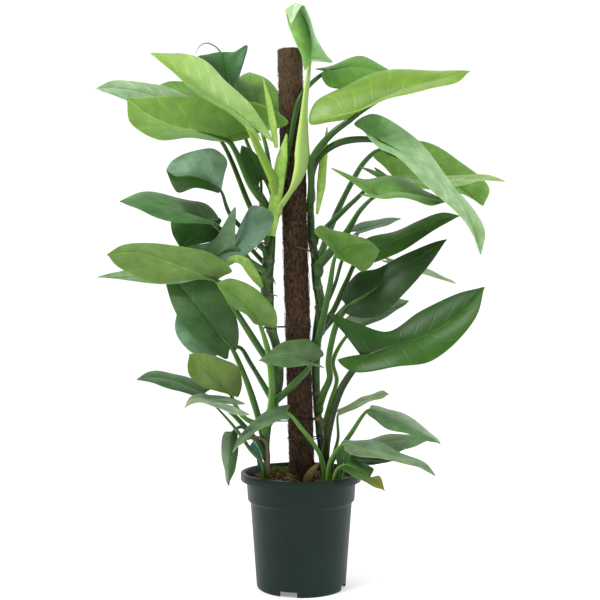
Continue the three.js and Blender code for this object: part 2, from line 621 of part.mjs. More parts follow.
    far: [[-100, 297, -60], [-93, 319, -58], [-100, 344, -62], [-122, 356, -70], [-150, 366, -82]],
  },
  {
    name: 'leaf_left_low_far', on: 'stem_left', colour: GREEN, stalk: [4.5, 3.75, 3],
    run: [[-64, 216, -12], [-110, 272, -28]],
    spine: [[-152, 303, -44], [-178, 314, -46], [-207, 324, -48], [-234, 328, -52], [-259, 325, -56]],
    near: [[-148, 297, -54], [-172, 300, -66], [-197, 307, -72], [-223, 316, -72], [-243, 321, -66]],
    far: [[-142, 311, -34], [-166, 322, -22], [-191, 332, -20], [-218, 337, -24], [-242, 336, -38]],
  },
  {
    name: 'leaf_left_low_edge', colour: SILVER, stalk: [3, 3, 3, 2.5],
    run: [[-56, 138, -36], [-62, 192, -37], [-80, 214, -42], [-98, 240, -68], [-116, 262, -86]],
    spine: [[-141, 289, -88], [-152, 293, -90], [-163, 295, -92], [-174, 292, -94], [-184, 281, -96]],
    near: [[-81, 270, -102], [-108, 270, -112], [-134, 281, -112], [-155, 288, -106], [-172, 286, -100]],
    far: [[-89, 286, -76], [-112, 295, -66], [-141, 301, -66], [-160, 301, -74], [-175, 297, -84]],
  },
  {
    name: 'leaf_front_low_pale', colour: SILVER, stalk: [4.25, 3.5, 3.5, 3.5, 3],
    run: [[38, 138, -26], [33, 196, -32], [19, 224, -44], [4, 243, -54]],
    spine: [[-22, 273, -64], [-44, 265, -72], [-67, 254, -82], [-89, 236, -94], [-109, 210, -106]],
    near: [[-18, 262, -76], [-35, 261, -88], [-57, 250, -98], [-78, 236, -106], [-95, 223, -110]],
    far: [[-18, 284, -54], [-32, 284, -50], [-52, 275, -56], [-76, 259, -70], [-98, 234, -92]],
  },
  {
    name: 'leaf_left_hanging', on: 'stem_left', colour: GREEN, stalk: [3.5, 3, 3, 2.5],
    run: [[-62, 208, -24], [-76, 236, -34], [-94, 250, -46]],
    spine: [[-108, 243, -58], [-112, 223, -64], [-114, 201, -66], [-114, 179, -66], [-115, 157, -64]],
    near: [[-101, 243, -56], [-100, 228, -68], [-100, 206, -78], [-103, 185, -78], [-111, 168, -72]],
    far: [[-120, 242, -52], [-126, 229, -50], [-125, 209, -52], [-122, 187, -54], [-119, 169, -58]],
  },
  {
    name: 'leaf_right_low_thin', colour: SILVER, stalk: [3, 3, 3, 2.5],
    run: [[46, 138, 28], [50, 200, 34], [58, 232, 38]],
    spine: [[58, 272, 38], [77, 280, 44], [96, 289, 50], [116, 298, 56], [138, 302, 62]],
    near: [[58, 267, 28], [75, 275, 26], [96, 284, 30], [116, 292, 38], [131, 297, 50]],
    far: [[53, 275, 48], [69, 283, 58], [90, 293, 66], [108, 301, 70], [127, 307, 68]],
  },
  {
    name: 'leaf_right_low_slope', on: 'stem_right', colour: SILVER, stalk: [4, 4, 3.25],
    run: [[48, 184, 2], [76, 236, -8]],
    spine: [[107, 278, -18], [137, 269, -22], [165, 256, -28], [194, 240, -34], [220, 224, -40]],
    near: [[104, 270, -30], [116, 260, -44], [137, 248, -52], [167, 238, -54], [198, 229, -50]],
    far: [[110, 283, -6], [127, 281, 6], [153, 275, 8], [186, 254, -4], [211, 236, -24]],
  },
  {
    name: 'leaf_right_low_front', colour: SILVER, stalk: [3.25, 3.25, 2.75],
    run: [[40, 138, -44], [46, 196, -50]],
    spine: [[66, 223, -62], [102, 215, -68], [140, 205, -74], [178, 192, -80], [212, 174, -86]],
    near: [[69, 213, -76], [86, 206, -92], [115, 201, -100], [156, 194, -100], [192, 185, -94]],
    far: [[67, 229, -48], [85, 229, -40], [118, 227, -42], [156, 210, -54], [195, 193, -70]],
  },
  {
    name: 'leaf_right_low_back', colour: GREEN, stalk: [3.5, 3, 2.5],
    run: [[58, 138, 8], [76, 196, 6]],
    spine: [[96, 220, 4], [123, 224, 8], [148, 228, 12], [173, 229, 16], [198, 228, 20]],
    near: [[102, 213, -8], [124, 208, -18], [151, 208, -16], [165, 215, -6], [184, 221, 6]],
    far: [[93, 228, 16], [108, 231, 26], [134, 237, 32], [161, 239, 34], [184, 236, 28]],
  },
  {
    name: 'leaf_right_low_dark', colour: DEEP, stalk: [2.75, 2.75, 2.25],
    run: [[52, 138, -22], [60, 186, -26]],
    spine: [[71, 200, -30], [90, 199, -32], [108, 198, -34], [129, 197, -35], [148, 198, -36]],
    near: [[72, 196, -40], [86, 193, -46], [104, 191, -48], [120, 191, -46], [135, 194, -42]],
    far: [[71, 205, -22], [83, 206, -18], [101, 204, -18], [120, 202, -22], [135, 200, -28]],
  },
  {
    name: 'leaf_right_low_torn', colour: GREEN, stalk: [2.75, 2.75, 2.25],
    run: [[48, 138, -60], [56, 182, -64]],
    spine: [[69, 191, -72], [85, 185, -78], [101, 175, -84], [116, 165, -90], [132, 150, -96]],
    near: [[64, 183, -84], [74, 177, -94], [90, 169, -100], [105, 160, -102], [120, 154, -100]],
    far: [[80, 199, -64], [102, 193, -66], [114, 183, -74], [109, 170, -82], [123, 173, -88]],
  },
  {
    name: 'leaf_right_low_young', colour: GREEN, stalk: [2, 2, 1.5],
    run: [[58, 138, -38], [62, 182, -38]],
    heel: [66, 197, -40], tip: [72, 230, -44], face: [-0.5, -0.8, 0.3], width: 26,
  },
];

for (const leaf of LEAVES) {
  addLeaf(leaf);
}

// The new shoot still rolled up, a curled bract and a dried sheath that stands in the soil
const DRIED = {
  run: [[7, 142, -38], [10, 167, -41], [16, 178, -42], [23, 187, -42], [30, 194, -42]],
  radii: [3, 5, 7, 5, 1.5],
};
addSheath(
  'new_shoot',
  [[-42, 690, -33], [-46, 735, -40], [-51, 762, -42], [-60, 799, -42]],
  [3, 6, 4.5, 1],
  0xb9d58a,
  { sides: 7, rings: 8 },
  'sheath_left',
);
addSheath(
  'bract_curled',
  [[-66, 470, -34], [-76, 492, -56], [-92, 512, -66], [-110, 514, -70], [-122, 502, -70]],
  [3, 7, 8, 6, 1.5],
  0x7ea23e,
  { sides: 6, rings: 8, flat: 0.22 },
  'stem_left',
);
addSheath(
  'sheath_dried',
  DRIED.run,
  DRIED.radii,
  0x8a7a3a,
  { sides: 6, rings: 6, flat: 0.4 },
);

// The coir pole, leaning a little to the left
const POLE_FOOT = new THREE.Vector3(5, 0, 44);
const POLE_TOP = new THREE.Vector3(-18, 0, 44 + POLE_LENGTH);

function poleSolid(radius, extra = 0) {
  const run = POLE_TOP.clone().sub(POLE_FOOT);
  const profile = [
    new THREE.Vector2(0, -extra),
    new THREE.Vector2(radius - 1.5, -extra),
    new THREE.Vector2(radius, 2),
    new THREE.Vector2(radius, run.length() / 2),
    new THREE.Vector2(radius, run.length() - 2),
    new THREE.Vector2(radius - 1.5, run.length()),
    new THREE.Vector2(0, run.length()),
  ];
  const geometry = new THREE.LatheGeometry(profile, 24);
  const upright = new THREE.Vector3(0, 1, 0);
  geometry.applyQuaternion(new THREE.Quaternion().setFromUnitVectors(upright, run.normalize()));
  geometry.translate(...POLE_FOOT.toArray());
  return geometry;
}
addNode('coir_pole', poleSolid(POLE_DIAMETER / 2), 0x3b2a20, 0.95);

// The nursery pot: a lip, an upper band, a tapered body, a raised floor and a notched foot ring
const RIM = POT_DIAMETER / 2;
const FLOOR_UNDER = 9;
const FLOOR_TOP = 11.5;
const FOOT_PAD = 14;
const NOTCH = { wide: 28, high: 8.5, count: 4, turn: -0.29 };
const DRAIN = { radius: 4, ring: 44, count: 8 };
const POT_INSIDE = [
  [RIM - 6.5, POT_HEIGHT - 1.5],
  [RIM - 10.8, POT_HEIGHT - 15],
  [RIM - 12.8, POT_HEIGHT - 43],
  [RIM - 17, POT_HEIGHT - 47],
  [RIM - 27, FLOOR_TOP + 2],
  [RIM - 29, FLOOR_TOP],
];
const POT_OUTSIDE = [
  [0, 0],
  [FOOT_PAD, 0],
  [FOOT_PAD + 1.5, FLOOR_UNDER],
  [RIM - 29.5, FLOOR_UNDER],
  [RIM - 29, 0],
  [RIM - 26.5, 0],
  [RIM - 25, 2.5],
  [RIM - 24.5, 9],
  [RIM - 15, POT_HEIGHT - 47],
  [RIM - 11, POT_HEIGHT - 43],
  [RIM - 9, POT_HEIGHT - 14],
  [RIM - 1.5, POT_HEIGHT - 13],
  [RIM, POT_HEIGHT - 11],
  [RIM, POT_HEIGHT - 1.5],
  [RIM - 1.5, POT_HEIGHT],
  [RIM - 5.5, POT_HEIGHT],
];

function turned(profile, sides) {
  const geometry = new THREE.LatheGeometry(profile.map(([r, z]) => new THREE.Vector2(r, z)), sides);
  geometry.rotateX(Math.PI / 2);
  return geometry;
}

function potGeometry() {
  let pot = toSolid(turned([...POT_OUTSIDE, ...POT_INSIDE, [0, FLOOR_TOP]], 36));
  for (let i = 0; i < NOTCH.count; i += 1) {
    const angle = NOTCH.turn + (i / NOTCH.count) * 2 * Math.PI;
    const cutter = new THREE.BoxGeometry(NOTCH.wide, 20, 2 * NOTCH.high);
    cutter.translate(0, -(RIM - 27), 0);
    cutter.rotateZ(angle);
    pot = pot.subtract(toSolid(cutter));
  }
  for (let i = 0; i < DRAIN.count; i += 1) {
    const angle = ((i + 0.5) / DRAIN.count) * 2 * Math.PI;
    const drill = new THREE.CylinderGeometry(DRAIN.radius, DRAIN.radius, 20, 10);
    drill.rotateX(Math.PI / 2);
    drill.translate(DRAIN.ring * Math.cos(angle), DRAIN.ring * Math.sin(angle), FLOOR_TOP);
    pot = pot.subtract(toSolid(drill));
  }
  return toGeometry(pot);
}
addNode('nursery_pot', potGeometry(), 0x3a4742, 0.5);

// Potting soil with a lumpy top, heaped at the left of the pole, and a plain hole for all that stands in it
const MOUND = { x: -30, y: 8, high: 14, spread: 21 };

function soilTop(x, y) {
  const wide = Math.sin(x / 9) * Math.cos(y / 7.5);
  const small = 0.7 * Math.sin((x + y) / 5.2 + 1) * Math.cos((x - y) / 6);
  const off = Math.hypot(x - MOUND.x, y - MOUND.y) / MOUND.spread;
  return SOIL_LEVEL + 1.6 * (wide + small) + MOUND.high * Math.exp(-off * off / 2);
}

function soilGeometry() {
  const sides = 30;
  const wall = POT_INSIDE.slice(1).map(([r, z]) => [r - CLEARANCE, z + CLEARANCE]).reverse();
  const brim = wall[wall.length - 1][0];
  const rings = [...wall, [brim, SOIL_LEVEL], [0.84 * brim], [0.66 * brim], [0.44 * brim], [0.22 * brim]];
  const points = [new THREE.Vector3(0, 0, FLOOR_TOP + CLEARANCE)];
  for (const [r, z] of rings) {
    for (let j = 0; j < sides; j += 1) {
      const angle = (j / sides) * 2 * Math.PI;
      const [x, y] = [r * Math.cos(angle), r * Math.sin(angle)];
      points.push(new THREE.Vector3(x, y, z ?? soilTop(x, y)));
    }
  }
  points.push(new THREE.Vector3(0, 0, soilTop(0, 0)));
  const faces = [];
  const corner = (ring, j) => 1 + ring * sides + (j % sides);
  for (let j = 0; j < sides; j += 1) {
    faces.push(0, corner(0, j + 1), corner(0, j));
    for (let i = 0; i < rings.length - 1; i += 1) {
      faces.push(corner(i, j), corner(i, j + 1), corner(i + 1, j));
      faces.push(corner(i, j + 1), corner(i + 1, j + 1), corner(i + 1, j));
    }
    faces.push(corner(rings.length - 1, j), corner(rings.length - 1, j + 1), points.length - 1);
  }
  return outward(new THREE.BufferGeometry().setFromPoints(points), faces);
}

// The outline of a push-in label: a blunt head over a long point
const LABEL = { wide: 21, neck: 9, head: 19, long: 78, thick: 0.9, turn: 0.12, lean: -0.2 };
const LABEL_PLACE = new THREE.Vector3(-58, 38, 146);

function labelGeometry(grow) {
  const outline = new THREE.Shape();
  outline.moveTo(0, -grow);
  outline.lineTo(LABEL.neck / 2 + grow, LABEL.neck);
  outline.lineTo(LABEL.neck / 2 + grow, LABEL.long - LABEL.head - LABEL.neck);
  outline.lineTo(LABEL.wide / 2 + grow, LABEL.long - LABEL.head);
  outline.lineTo(LABEL.wide / 2 + grow, LABEL.long - 5);
  outline.lineTo(LABEL.wide / 2 - 5, LABEL.long + grow);
  outline.lineTo(5 - LABEL.wide / 2, LABEL.long + grow);
  outline.lineTo(-LABEL.wide / 2 - grow, LABEL.long - 5);
  outline.lineTo(-LABEL.wide / 2 - grow, LABEL.long - LABEL.head);
  outline.lineTo(-LABEL.neck / 2 - grow, LABEL.long - LABEL.head - LABEL.neck);
  outline.lineTo(-LABEL.neck / 2 - grow, LABEL.neck);
  outline.closePath();
  const thick = LABEL.thick + 2 * grow;
  const geometry = new THREE.ExtrudeGeometry(outline, { depth: thick, bevelEnabled: false });
  geometry.translate(0, 0, -thick / 2);
  geometry.rotateX(Math.PI / 2);
  geometry.rotateY(LABEL.lean);
  geometry.rotateZ(LABEL.turn);
  geometry.translate(...LABEL_PLACE.toArray());
  return geometry;
}
addNode('plant_label', labelGeometry(0), 0x4f8a8f, 0.6);

function soilWithHoles() {
  let soil = toSolid(soilGeometry());
  const wider = (radii) => radii.map((radius) => radius / Math.cos(Math.PI / 6) + CLEARANCE);
  const stems = [STEM_LEFT, STEM_RIGHT, DRIED];
  for (const stem of stems) {
    soil = soil.subtract(toSolid(taperedTube(stem.run.slice(0, 3).map(seen), wider(stem.radii.slice(0, 3)))));
  }
  for (const leaf of LEAVES.filter(({ run }) => run[0][1] < SOIL_LEVEL)) {
    const points = stalkPoints(leaf, leafForm(leaf));
    soil = soil.subtract(toSolid(taperedTube(points, wider(stalkRadii(leaf)), { sides: 6, rings: 7 })));
  }
  soil = soil.subtract(toSolid(poleSolid(POLE_DIAMETER / 2 + CLEARANCE, CLEARANCE)));
  return toGeometry(soil.subtract(toSolid(labelGeometry(CLEARANCE))));
}
addNode('potting_soil', soilWithHoles(), 0x5a4030, 0.95);

// Ties: thin wire drawn round the pole and a stem
function tieGeometry(stem, height, wire) {
  const lean = POLE_TOP.clone().sub(POLE_FOOT).multiplyScalar((height - POLE_FOOT.z) / POLE_LENGTH);
  const posts = [
    { centre: POLE_FOOT.clone().add(lean), radius: POLE_DIAMETER / 2 },
    hostAt(stem, height),
  ];
  const rings = 26;
  const sides = 5;
  const corners = [];
  for (let i = 0; i < rings; i += 1) {
    const turn = (i / rings) * 2 * Math.PI;
    const out = new THREE.Vector3(Math.cos(turn), Math.sin(turn), 0);
    const reach = posts.map(({ centre, radius }) => centre.dot(out) + radius);
    const { centre, radius } = posts[reach[0] > reach[1] ? 0 : 1];
    const clear = (radius + wire + CLEARANCE) / Math.cos(Math.PI / rings);
    for (let j = 0; j < sides; j += 1) {
      const angle = (j / sides) * 2 * Math.PI;
      corners.push(centre.clone().setZ(height + wire * Math.sin(angle))
        .addScaledVector(out, clear + wire * Math.cos(angle)));
    }
  }
  const faces = [];
  for (let i = 0; i < rings; i += 1) {
    for (let j = 0; j < sides; j += 1) {
      const [near, next] = [i * sides, ((i + 1) % rings) * sides];
      const [a, b, c, d] = [near + j, near + ((j + 1) % sides), next + j, next + ((j + 1) % sides)];
      faces.push(a, c, b, b, c, d);
    }
  }
  return outward(new THREE.BufferGeometry().setFromPoints(corners), faces);
}
addNode('tie_left', tieGeometry(STEM_LEFT, 262, 1), 0x262b22, 0.6);
addNode('tie_right', tieGeometry(STEM_RIGHT, 232, 1), 0x262b22, 0.6);
addNode('tie_upper', tieGeometry(STEM_LEFT, 408, 1), 0x262b22, 0.6);

export default plant;
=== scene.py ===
import json
import math
import random
import bpy
import bmesh
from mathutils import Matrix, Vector


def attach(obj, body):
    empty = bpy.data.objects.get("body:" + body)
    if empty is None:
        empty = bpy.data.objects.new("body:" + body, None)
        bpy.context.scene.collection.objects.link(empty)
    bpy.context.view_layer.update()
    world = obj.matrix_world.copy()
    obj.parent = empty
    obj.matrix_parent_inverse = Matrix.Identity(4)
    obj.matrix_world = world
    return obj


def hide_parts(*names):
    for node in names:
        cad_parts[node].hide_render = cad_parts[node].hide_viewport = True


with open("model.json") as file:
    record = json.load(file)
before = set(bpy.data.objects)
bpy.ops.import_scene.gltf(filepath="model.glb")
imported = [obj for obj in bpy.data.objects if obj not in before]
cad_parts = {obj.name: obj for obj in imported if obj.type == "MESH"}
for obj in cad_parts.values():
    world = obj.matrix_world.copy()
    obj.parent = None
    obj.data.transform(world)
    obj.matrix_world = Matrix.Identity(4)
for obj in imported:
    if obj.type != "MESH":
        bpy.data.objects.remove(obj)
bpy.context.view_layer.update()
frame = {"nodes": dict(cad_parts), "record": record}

# Camera, floor and light: level with the middle of the plant, 1.6 m in front of it.
# A matt white floor and a bright white sky, dimmer in front and overhead, with two soft lamps.
EYE = (-0.0019, -1.6, 0.45)
LENS = 60.9
SENSOR_WIDTH = 36
AIM = Vector((0, 0, 0.45))
SKY_FRONT = (0.0, -0.75, 0.45)
SKY_SIDES = 1.15
SKY_DIM = 0.42
FLOOR_HALF = 30
FLOOR_LIT = 0.26
# A Mix node of colours takes its share at input 0 and the colours at 6 and 7
MIXING = dict(out=2, data_type="RGBA")


def linear(code):
    """A six-digit sRGB colour as linear red, green, blue and alpha."""
    values = [int(code[i:i + 2], 16) / 255 for i in (0, 2, 4)]
    return [v / 12.92 if v <= 0.04045 else ((v + 0.055) / 1.055) ** 2.4 for v in values] + [1.0]


def node(tree, kind, feeds=None, out=0, **settings):
    """Adds a shader node, sets or joins its inputs, and gives back one of its outputs."""
    made = tree.nodes.new("ShaderNode" + kind)
    for key, value in settings.items():
        setattr(made, key, value)
    for key, value in (feeds or {}).items():
        if isinstance(value, bpy.types.NodeSocket):
            tree.links.new(value, made.inputs[key])
        else:
            made.inputs[key].default_value = value
    return made.outputs[out] if made.outputs else None


def new_material(name):
    """An empty material with its node tree."""
    made = bpy.data.materials.new(name)
    made.use_nodes = True
    made.node_tree.nodes.clear()
    return made, made.node_tree


def placed(name, data):
    """Adds an object to the scene and gives it back."""
    made = bpy.data.objects.new(name, data)
    bpy.context.scene.collection.objects.link(made)
    return made


eye = bpy.data.cameras.new("photo_view")
eye.lens = LENS
eye.sensor_width = SENSOR_WIDTH
camera = placed("photo_view", eye)
camera.location = EYE
camera.rotation_euler = (math.radians(90), 0, 0)
bpy.context.scene.camera = camera
bpy.context.scene.view_settings.view_transform = "Standard"

sky = bpy.data.worlds.new("soft_sky")
sky.use_nodes = True
sky.node_tree.nodes.clear()
heading = node(sky.node_tree, "TexCoord", out="Generated")
front = node(sky.node_tree, "VectorMath", {0: heading, 1: SKY_FRONT}, out="Value",
             operation="DOT_PRODUCT")
glow = node(sky.node_tree, "MapRange", {"Value": front, "From Min": 0.15, "From Max": 0.75,
                                        "To Min": SKY_SIDES, "To Max": SKY_DIM})
bright = node(sky.node_tree, "Background", {"Color": (0.98, 0.99, 1.0, 1.0), "Strength": glow})
node(sky.node_tree, "OutputWorld", {"Surface": bright})
bpy.context.scene.world = sky


def soft_lamp(name, spot, size, power):
    """A square lamp turned to the middle of the plant."""
    lamp = bpy.data.lights.new(name, "AREA")
    lamp.size = size
    lamp.energy = power
    lit = placed(name, lamp)
    lit.location = spot
    lit.rotation_euler = (AIM - Vector(spot)).to_track_quat("-Z", "Y").to_euler()


soft_lamp("lamp_left_high", (-1.1, -1.2, 2.5), 0.8, 42)
soft_lamp("lamp_right", (2.0, -0.7, 1.3), 0.8, 14)

floor_paint, tree = new_material("matt_white_paint")
# Rolled paint: clouds about 120 mm wide, so faint that the floor reads as one white sheet
at = node(tree, "TexCoord", out="Object")
grain = node(tree, "TexNoise", {"Vector": at, "Scale": 8.0, "Detail": 3.0})
shade = node(tree, "Mix", {0: grain, 6: linear("F7F7F6"), 7: linear("FCFCFC")}, **MIXING)
node(tree, "OutputMaterial", {"Surface": node(tree, "BsdfPrincipled", {
    "Base Color": shade, "Roughness": 0.9, "Specular IOR Level": 0.1,
    "Emission Color": (1.0, 1.0, 1.0, 1.0), "Emission Strength": FLOOR_LIT})})
floor_mesh = bpy.data.meshes.new("studio_floor")
corners = [(x * FLOOR_HALF, y * FLOOR_HALF, 0) for x, y in ((-1, -1), (1, -1), (1, 1), (-1, 1))]
floor_mesh.from_pydata(corners, [], [(0, 1, 2, 3)])
floor_mesh.materials.append(floor_paint)
studio_floor = placed("studio_floor", floor_mesh)


# Stems: two thick knotted stems, fleshy and dark green with paler joints and short brown roots.
# They stand in holes in the soil on both sides of the pole and bear nearly all the leaves.
# Runs are in millimetres: x and z as the eye sees them in the plane of the pot's axis, and depth.

# The eye's distance from the pot's axis, its place sideways and its height
EYE_FAR = 1600
EYE_SIDE = -2
EYE_LEVEL = 450

MILLIMETRE = 0.001
CURVE_STEPS = 160
STEM_RINGS = 150
# Joints: a factor on their heights over the eye's level, their half length and how much they swell
JOINT_SPREAD = 0.989
JOINT_REACH = 2.4
JOINT_SWELL = 0.14
STEM_LEFT = dict(
    run=[[-55, 130, -18], [-54, 195, -18], [-55, 229, -18], [-49, 273, -18], [-35, 316, -19],
         [-38, 371, -19], [-49, 411, -18], [-54, 466, -18], [-52, 507, -19], [-48, 536, -20],
         [-46, 566, -9], [-44, 606, -5], [-42, 644, -3]],
    radii=[5, 5, 5.5, 6.5, 6, 6.5, 7, 9.5, 10, 9, 6, 5, 3],
    joints=[205, 285, 345, 402, 452, 480, 512, 560],
)
STEM_RIGHT = dict(
    run=[[38, 130, 10], [34, 201, 11], [27, 261, 12], [23, 324, 14], [24, 387, 13],
         [30, 442, 11], [24, 482, 11], [22, 516, 12], [17, 545, 12], [15, 584, 12], [14, 628, 12]],
    radii=[5, 6, 6, 6, 6.5, 7.5, 8, 7.5, 6.5, 6, 3],
    joints=[196, 238, 300, 384, 436, 470, 506, 548, 600],
)
# Roots: the radius at the stem, the radius at the tip and the run
LEFT_ROOTS = [
    (2.2, 0.5, [[-52, 535, -24], [-62, 540, -34], [-74, 526, -40]]),
    (2.2, 0.5, [[-54, 482, -24], [-46, 486, -32], [-40, 474, -35]]),
    (2.2, 0.5, [[-54, 462, -24], [-44, 458, -33], [-36, 456, -34]]),
    (3.2, 2.0, [[-52, 172, -40], [-53, 208, -42], [-57, 227, -42], [-70, 234, -44],
                [-88, 230, -44]]),
]
RIGHT_ROOTS = [
    (2.2, 0.5, [[26, 442, 6], [22, 438, -8], [28, 424, -12]]),
    (3.4, 1.6, [[28, 262, 8], [21, 263, -14], [30, 266, -18], [36, 252, -16], [37, 240, -8]]),
    (2.4, 0.5, [[21, 517, 6], [15, 526, -9], [4, 531, -20], [-9, 534, -24]]),
    (1.8, 0.4, [[22, 522, 6], [12, 540, -8], [6, 544, -14]]),
]


def seen(place_seen):
    """A place as the eye sees it over the pot's axis, carried to its own depth."""
    x, z, depth = place_seen
    spread = (EYE_FAR + depth) / EYE_FAR
    return Vector((EYE_SIDE + (x - EYE_SIDE) * spread, depth, EYE_LEVEL + (z - EYE_LEVEL) * spread))


def lerp(a, b, share):
    """A value between two others, by its share of the way."""
    return a + (b - a) * share


def along(values, share):
    """A list of numbers read as a smooth run, at a share of its length."""
    at = min(max(share, 0), 1) * (len(values) - 1)
    first = min(int(at), len(values) - 2)
    return lerp(values[first], values[first + 1], at - first)


class Curve:
    """A smooth curve through points."""

    def __init__(self, points):
        first, second, last, before = points[0], points[1], points[-1], points[-2]
        self.points = [2 * first - second, *points, 2 * last - before]
        self.spans = len(points) - 1

    def at(self, share):
        whole = min(int(share * self.spans), self.spans - 1)
        w = share * self.spans - whole
        a, b, c, d = self.points[whole:whole + 4]
        mid = max((c - b).length, 1e-8) ** 0.5
        low = max((b - a).length, 1e-8) ** 0.5
        high = max((d - c).length, 1e-8) ** 0.5
        if low < 1e-4:
            low = mid
        if high < 1e-4:
            high = mid
        start = ((b - a) / low - (c - a) / (low + mid) + (c - b) / mid) * mid
        stop = ((c - b) / mid - (d - b) / (mid + high) + (d - c) / high) * mid
        return (b + start * w + (3 * (c - b) - 2 * start - stop) * w * w
                + (2 * (b - c) + start + stop) * w ** 3)

    def even(self, count):
        """Points at even steps of length, with the way that the curve runs at each."""
        fine = [self.at(i / CURVE_STEPS) for i in range(CURVE_STEPS + 1)]
        lengths = [0.0]
        for one, two in zip(fine, fine[1:]):
            lengths.append(lengths[-1] + (two - one).length)
        found = []
        j = 0
        for i in range(count + 1):
            want = lengths[-1] * i / count
            while j < CURVE_STEPS - 1 and lengths[j + 1] < want:
                j += 1
            step = max(lengths[j + 1] - lengths[j], 1e-9)
            found.append((fine[j].lerp(fine[j + 1], (want - lengths[j]) / step),
                          (fine[j + 1] - fine[j]).normalized()))
        return found


class Build:
    """Vertices, faces and named values of one piece, in millimetres."""

    def __init__(self):
        self.points = []
        self.faces = []
        self.slots = []
        self.values = {}

    def point(self, where, **values):
        self.points.append(where)
        for key, value in values.items():
            self.values.setdefault(key, {})[len(self.points) - 1] = value
        return len(self.points) - 1

    def face(self, corners, slot=0):
        kept = [c for i, c in enumerate(corners) if c != corners[i - 1]]
        if len(kept) > 2:
            self.faces.append(kept)
            self.slots.append(slot)

    def skin(self, rows, slot=0, back=False):
        """Joins closed rows of points, each to the next; back turns the faces the other way."""
        for one, two in zip(rows, rows[1:]):
            for j in range(len(one)):
                a, b = (j - 1, j) if back else (j, j - 1)
                self.face([one[a], one[b], two[b], two[a]], slot)

    def tube(self, points, radii, sides=12, rings=40, flat=1.0, slot=0, swell=None, tag=None):
        """A closed tube through points; from a share of its length and an angle, swell gives a
        factor on its radius and tag the values of a point."""
        rows = []
        for i, (centre, tangent) in enumerate(Curve(points).even(rings)):
            across = tangent.cross(Vector((0, 1, 0)))
            across = across.normalized() if across.length > 1e-6 else Vector((1, 0, 0))
            deep = across.cross(tangent).normalized()
            row = []
            for j in range(sides):
                angle = j / sides * 2 * math.pi
                radius = along(radii, i / rings) * (swell(i / rings, angle) if swell else 1)
                where = (centre + across * radius * math.cos(angle)
                         + deep * radius * flat * math.sin(angle))
                row.append(self.point(where, **(tag(i / rings, angle, where) if tag else {})))
            rows.append(row)
        self.skin(rows, slot)
        self.face(rows[0], slot)
        self.face(rows[-1][::-1], slot)

    def piece(self, name, materials, slot_name, *nodes):
        """Makes the object that takes the place of the nodes named, hides those nodes and hangs it on the
        root body.
        """
        mesh = bpy.data.meshes.new(name)
        mesh.from_pydata([p * MILLIMETRE for p in self.points], [], self.faces)
        for made in materials:
            mesh.materials.append(made)
        mesh.polygons.foreach_set("material_index", self.slots)
        mesh.polygons.foreach_set("use_smooth", [True] * len(self.faces))
        for key, found in self.values.items():
            wide = isinstance(next(iter(found.values())), (list, tuple))
            layer = mesh.attributes.new(key, "FLOAT_COLOR" if wide else "FLOAT", "POINT")
            plain = (0.0, 0.0, 0.0, 1.0) if wide else 0.0
            listed = [found.get(i, plain) for i in range(len(self.points))]
            if wide:
                layer.data.foreach_set("color", [v for colour in listed for v in colour])
            else:
                layer.data.foreach_set("value", listed)
        mesh.update()
        sound = bmesh.new()
        sound.from_mesh(mesh)
        bmesh.ops.recalc_face_normals(sound, faces=sound.faces)
        sound.to_mesh(mesh)
        sound.free()
        made = placed(name, mesh)
        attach(made, "root")
        if nodes:
            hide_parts(*nodes)
        return made


# Fleshy stem skin: dark green with half gloss, dull yellow at the joints, with streaks 4 mm apart
# drawn along it
stem_skin, tree = new_material("fleshy_stem_skin")
at = node(tree, "TexCoord", out="Object")
long_way = node(tree, "Mapping", {"Vector": at, "Scale": (1.0, 1.0, 0.2)})
streaks = node(tree, "TexNoise", {"Vector": long_way, "Scale": 250.0, "Detail": 4.0})
pores = node(tree, "TexNoise", {"Vector": at, "Scale": 900.0, "Detail": 2.0})
pale = node(tree, "MapRange", {"Value": streaks, "From Min": 0.35, "From Max": 0.7})
shade = node(tree, "Mix", {0: pale, 6: linear("182E14"), 7: linear("3C6428")}, **MIXING)
joint = node(tree, "Attribute", out="Fac", attribute_name="joint")
shade = node(tree, "Mix", {0: joint, 6: shade, 7: linear("7A8440")}, **MIXING)
root = node(tree, "Attribute", out="Fac", attribute_name="root")
shade = node(tree, "Mix", {0: root, 6: shade, 7: linear("5A4A2A")}, **MIXING)
gloss = node(tree, "MapRange", {"Value": streaks, "From Min": 0.3, "From Max": 0.7, "To Min": 0.34,
                                "To Max": 0.52})
relief = node(tree, "Bump", {"Height": pores, "Strength": 0.3, "Distance": 0.0004})
node(tree, "OutputMaterial", {"Surface": node(tree, "BsdfPrincipled", {
    "Base Color": shade, "Roughness": gloss, "IOR": 1.45, "Normal": relief})})


def add_stem(name, slot_name, stem, roots):
    """One stem with its roots, thicker and yellower at its joints."""
    built = Build()
    path = [seen(p) for p in stem["run"]]
    centres = [centre for centre, _ in Curve(path).even(STEM_RINGS)]
    heights = [EYE_LEVEL + (z - EYE_LEVEL) * JOINT_SPREAD for z in stem["joints"]]

    def near_joint(where):
        return max(math.exp(-((where.z - h) / JOINT_REACH) ** 2) for h in heights)

    def swell(share, angle):
        knot = near_joint(centres[round(share * STEM_RINGS)])
        return (1 + JOINT_SWELL * knot + 0.03 * math.sin(3 * angle + 9 * share)
                + 0.02 * math.sin(70 * share))

    built.tube(path, stem["radii"], sides=24, rings=STEM_RINGS, swell=swell,
               tag=lambda share, angle, where: {"joint": 0.45 * near_joint(where), "root": 0.0})
    for thick, tip, run in roots:
        built.tube([seen(p) for p in run], [thick, thick * 0.7, (thick + tip) * 0.4, tip],
                   sides=10, rings=24, tag=lambda share, angle, where: {"joint": 0.0, "root": 1.0})
    return built.piece(name + "_skin", [stem_skin], slot_name, name)


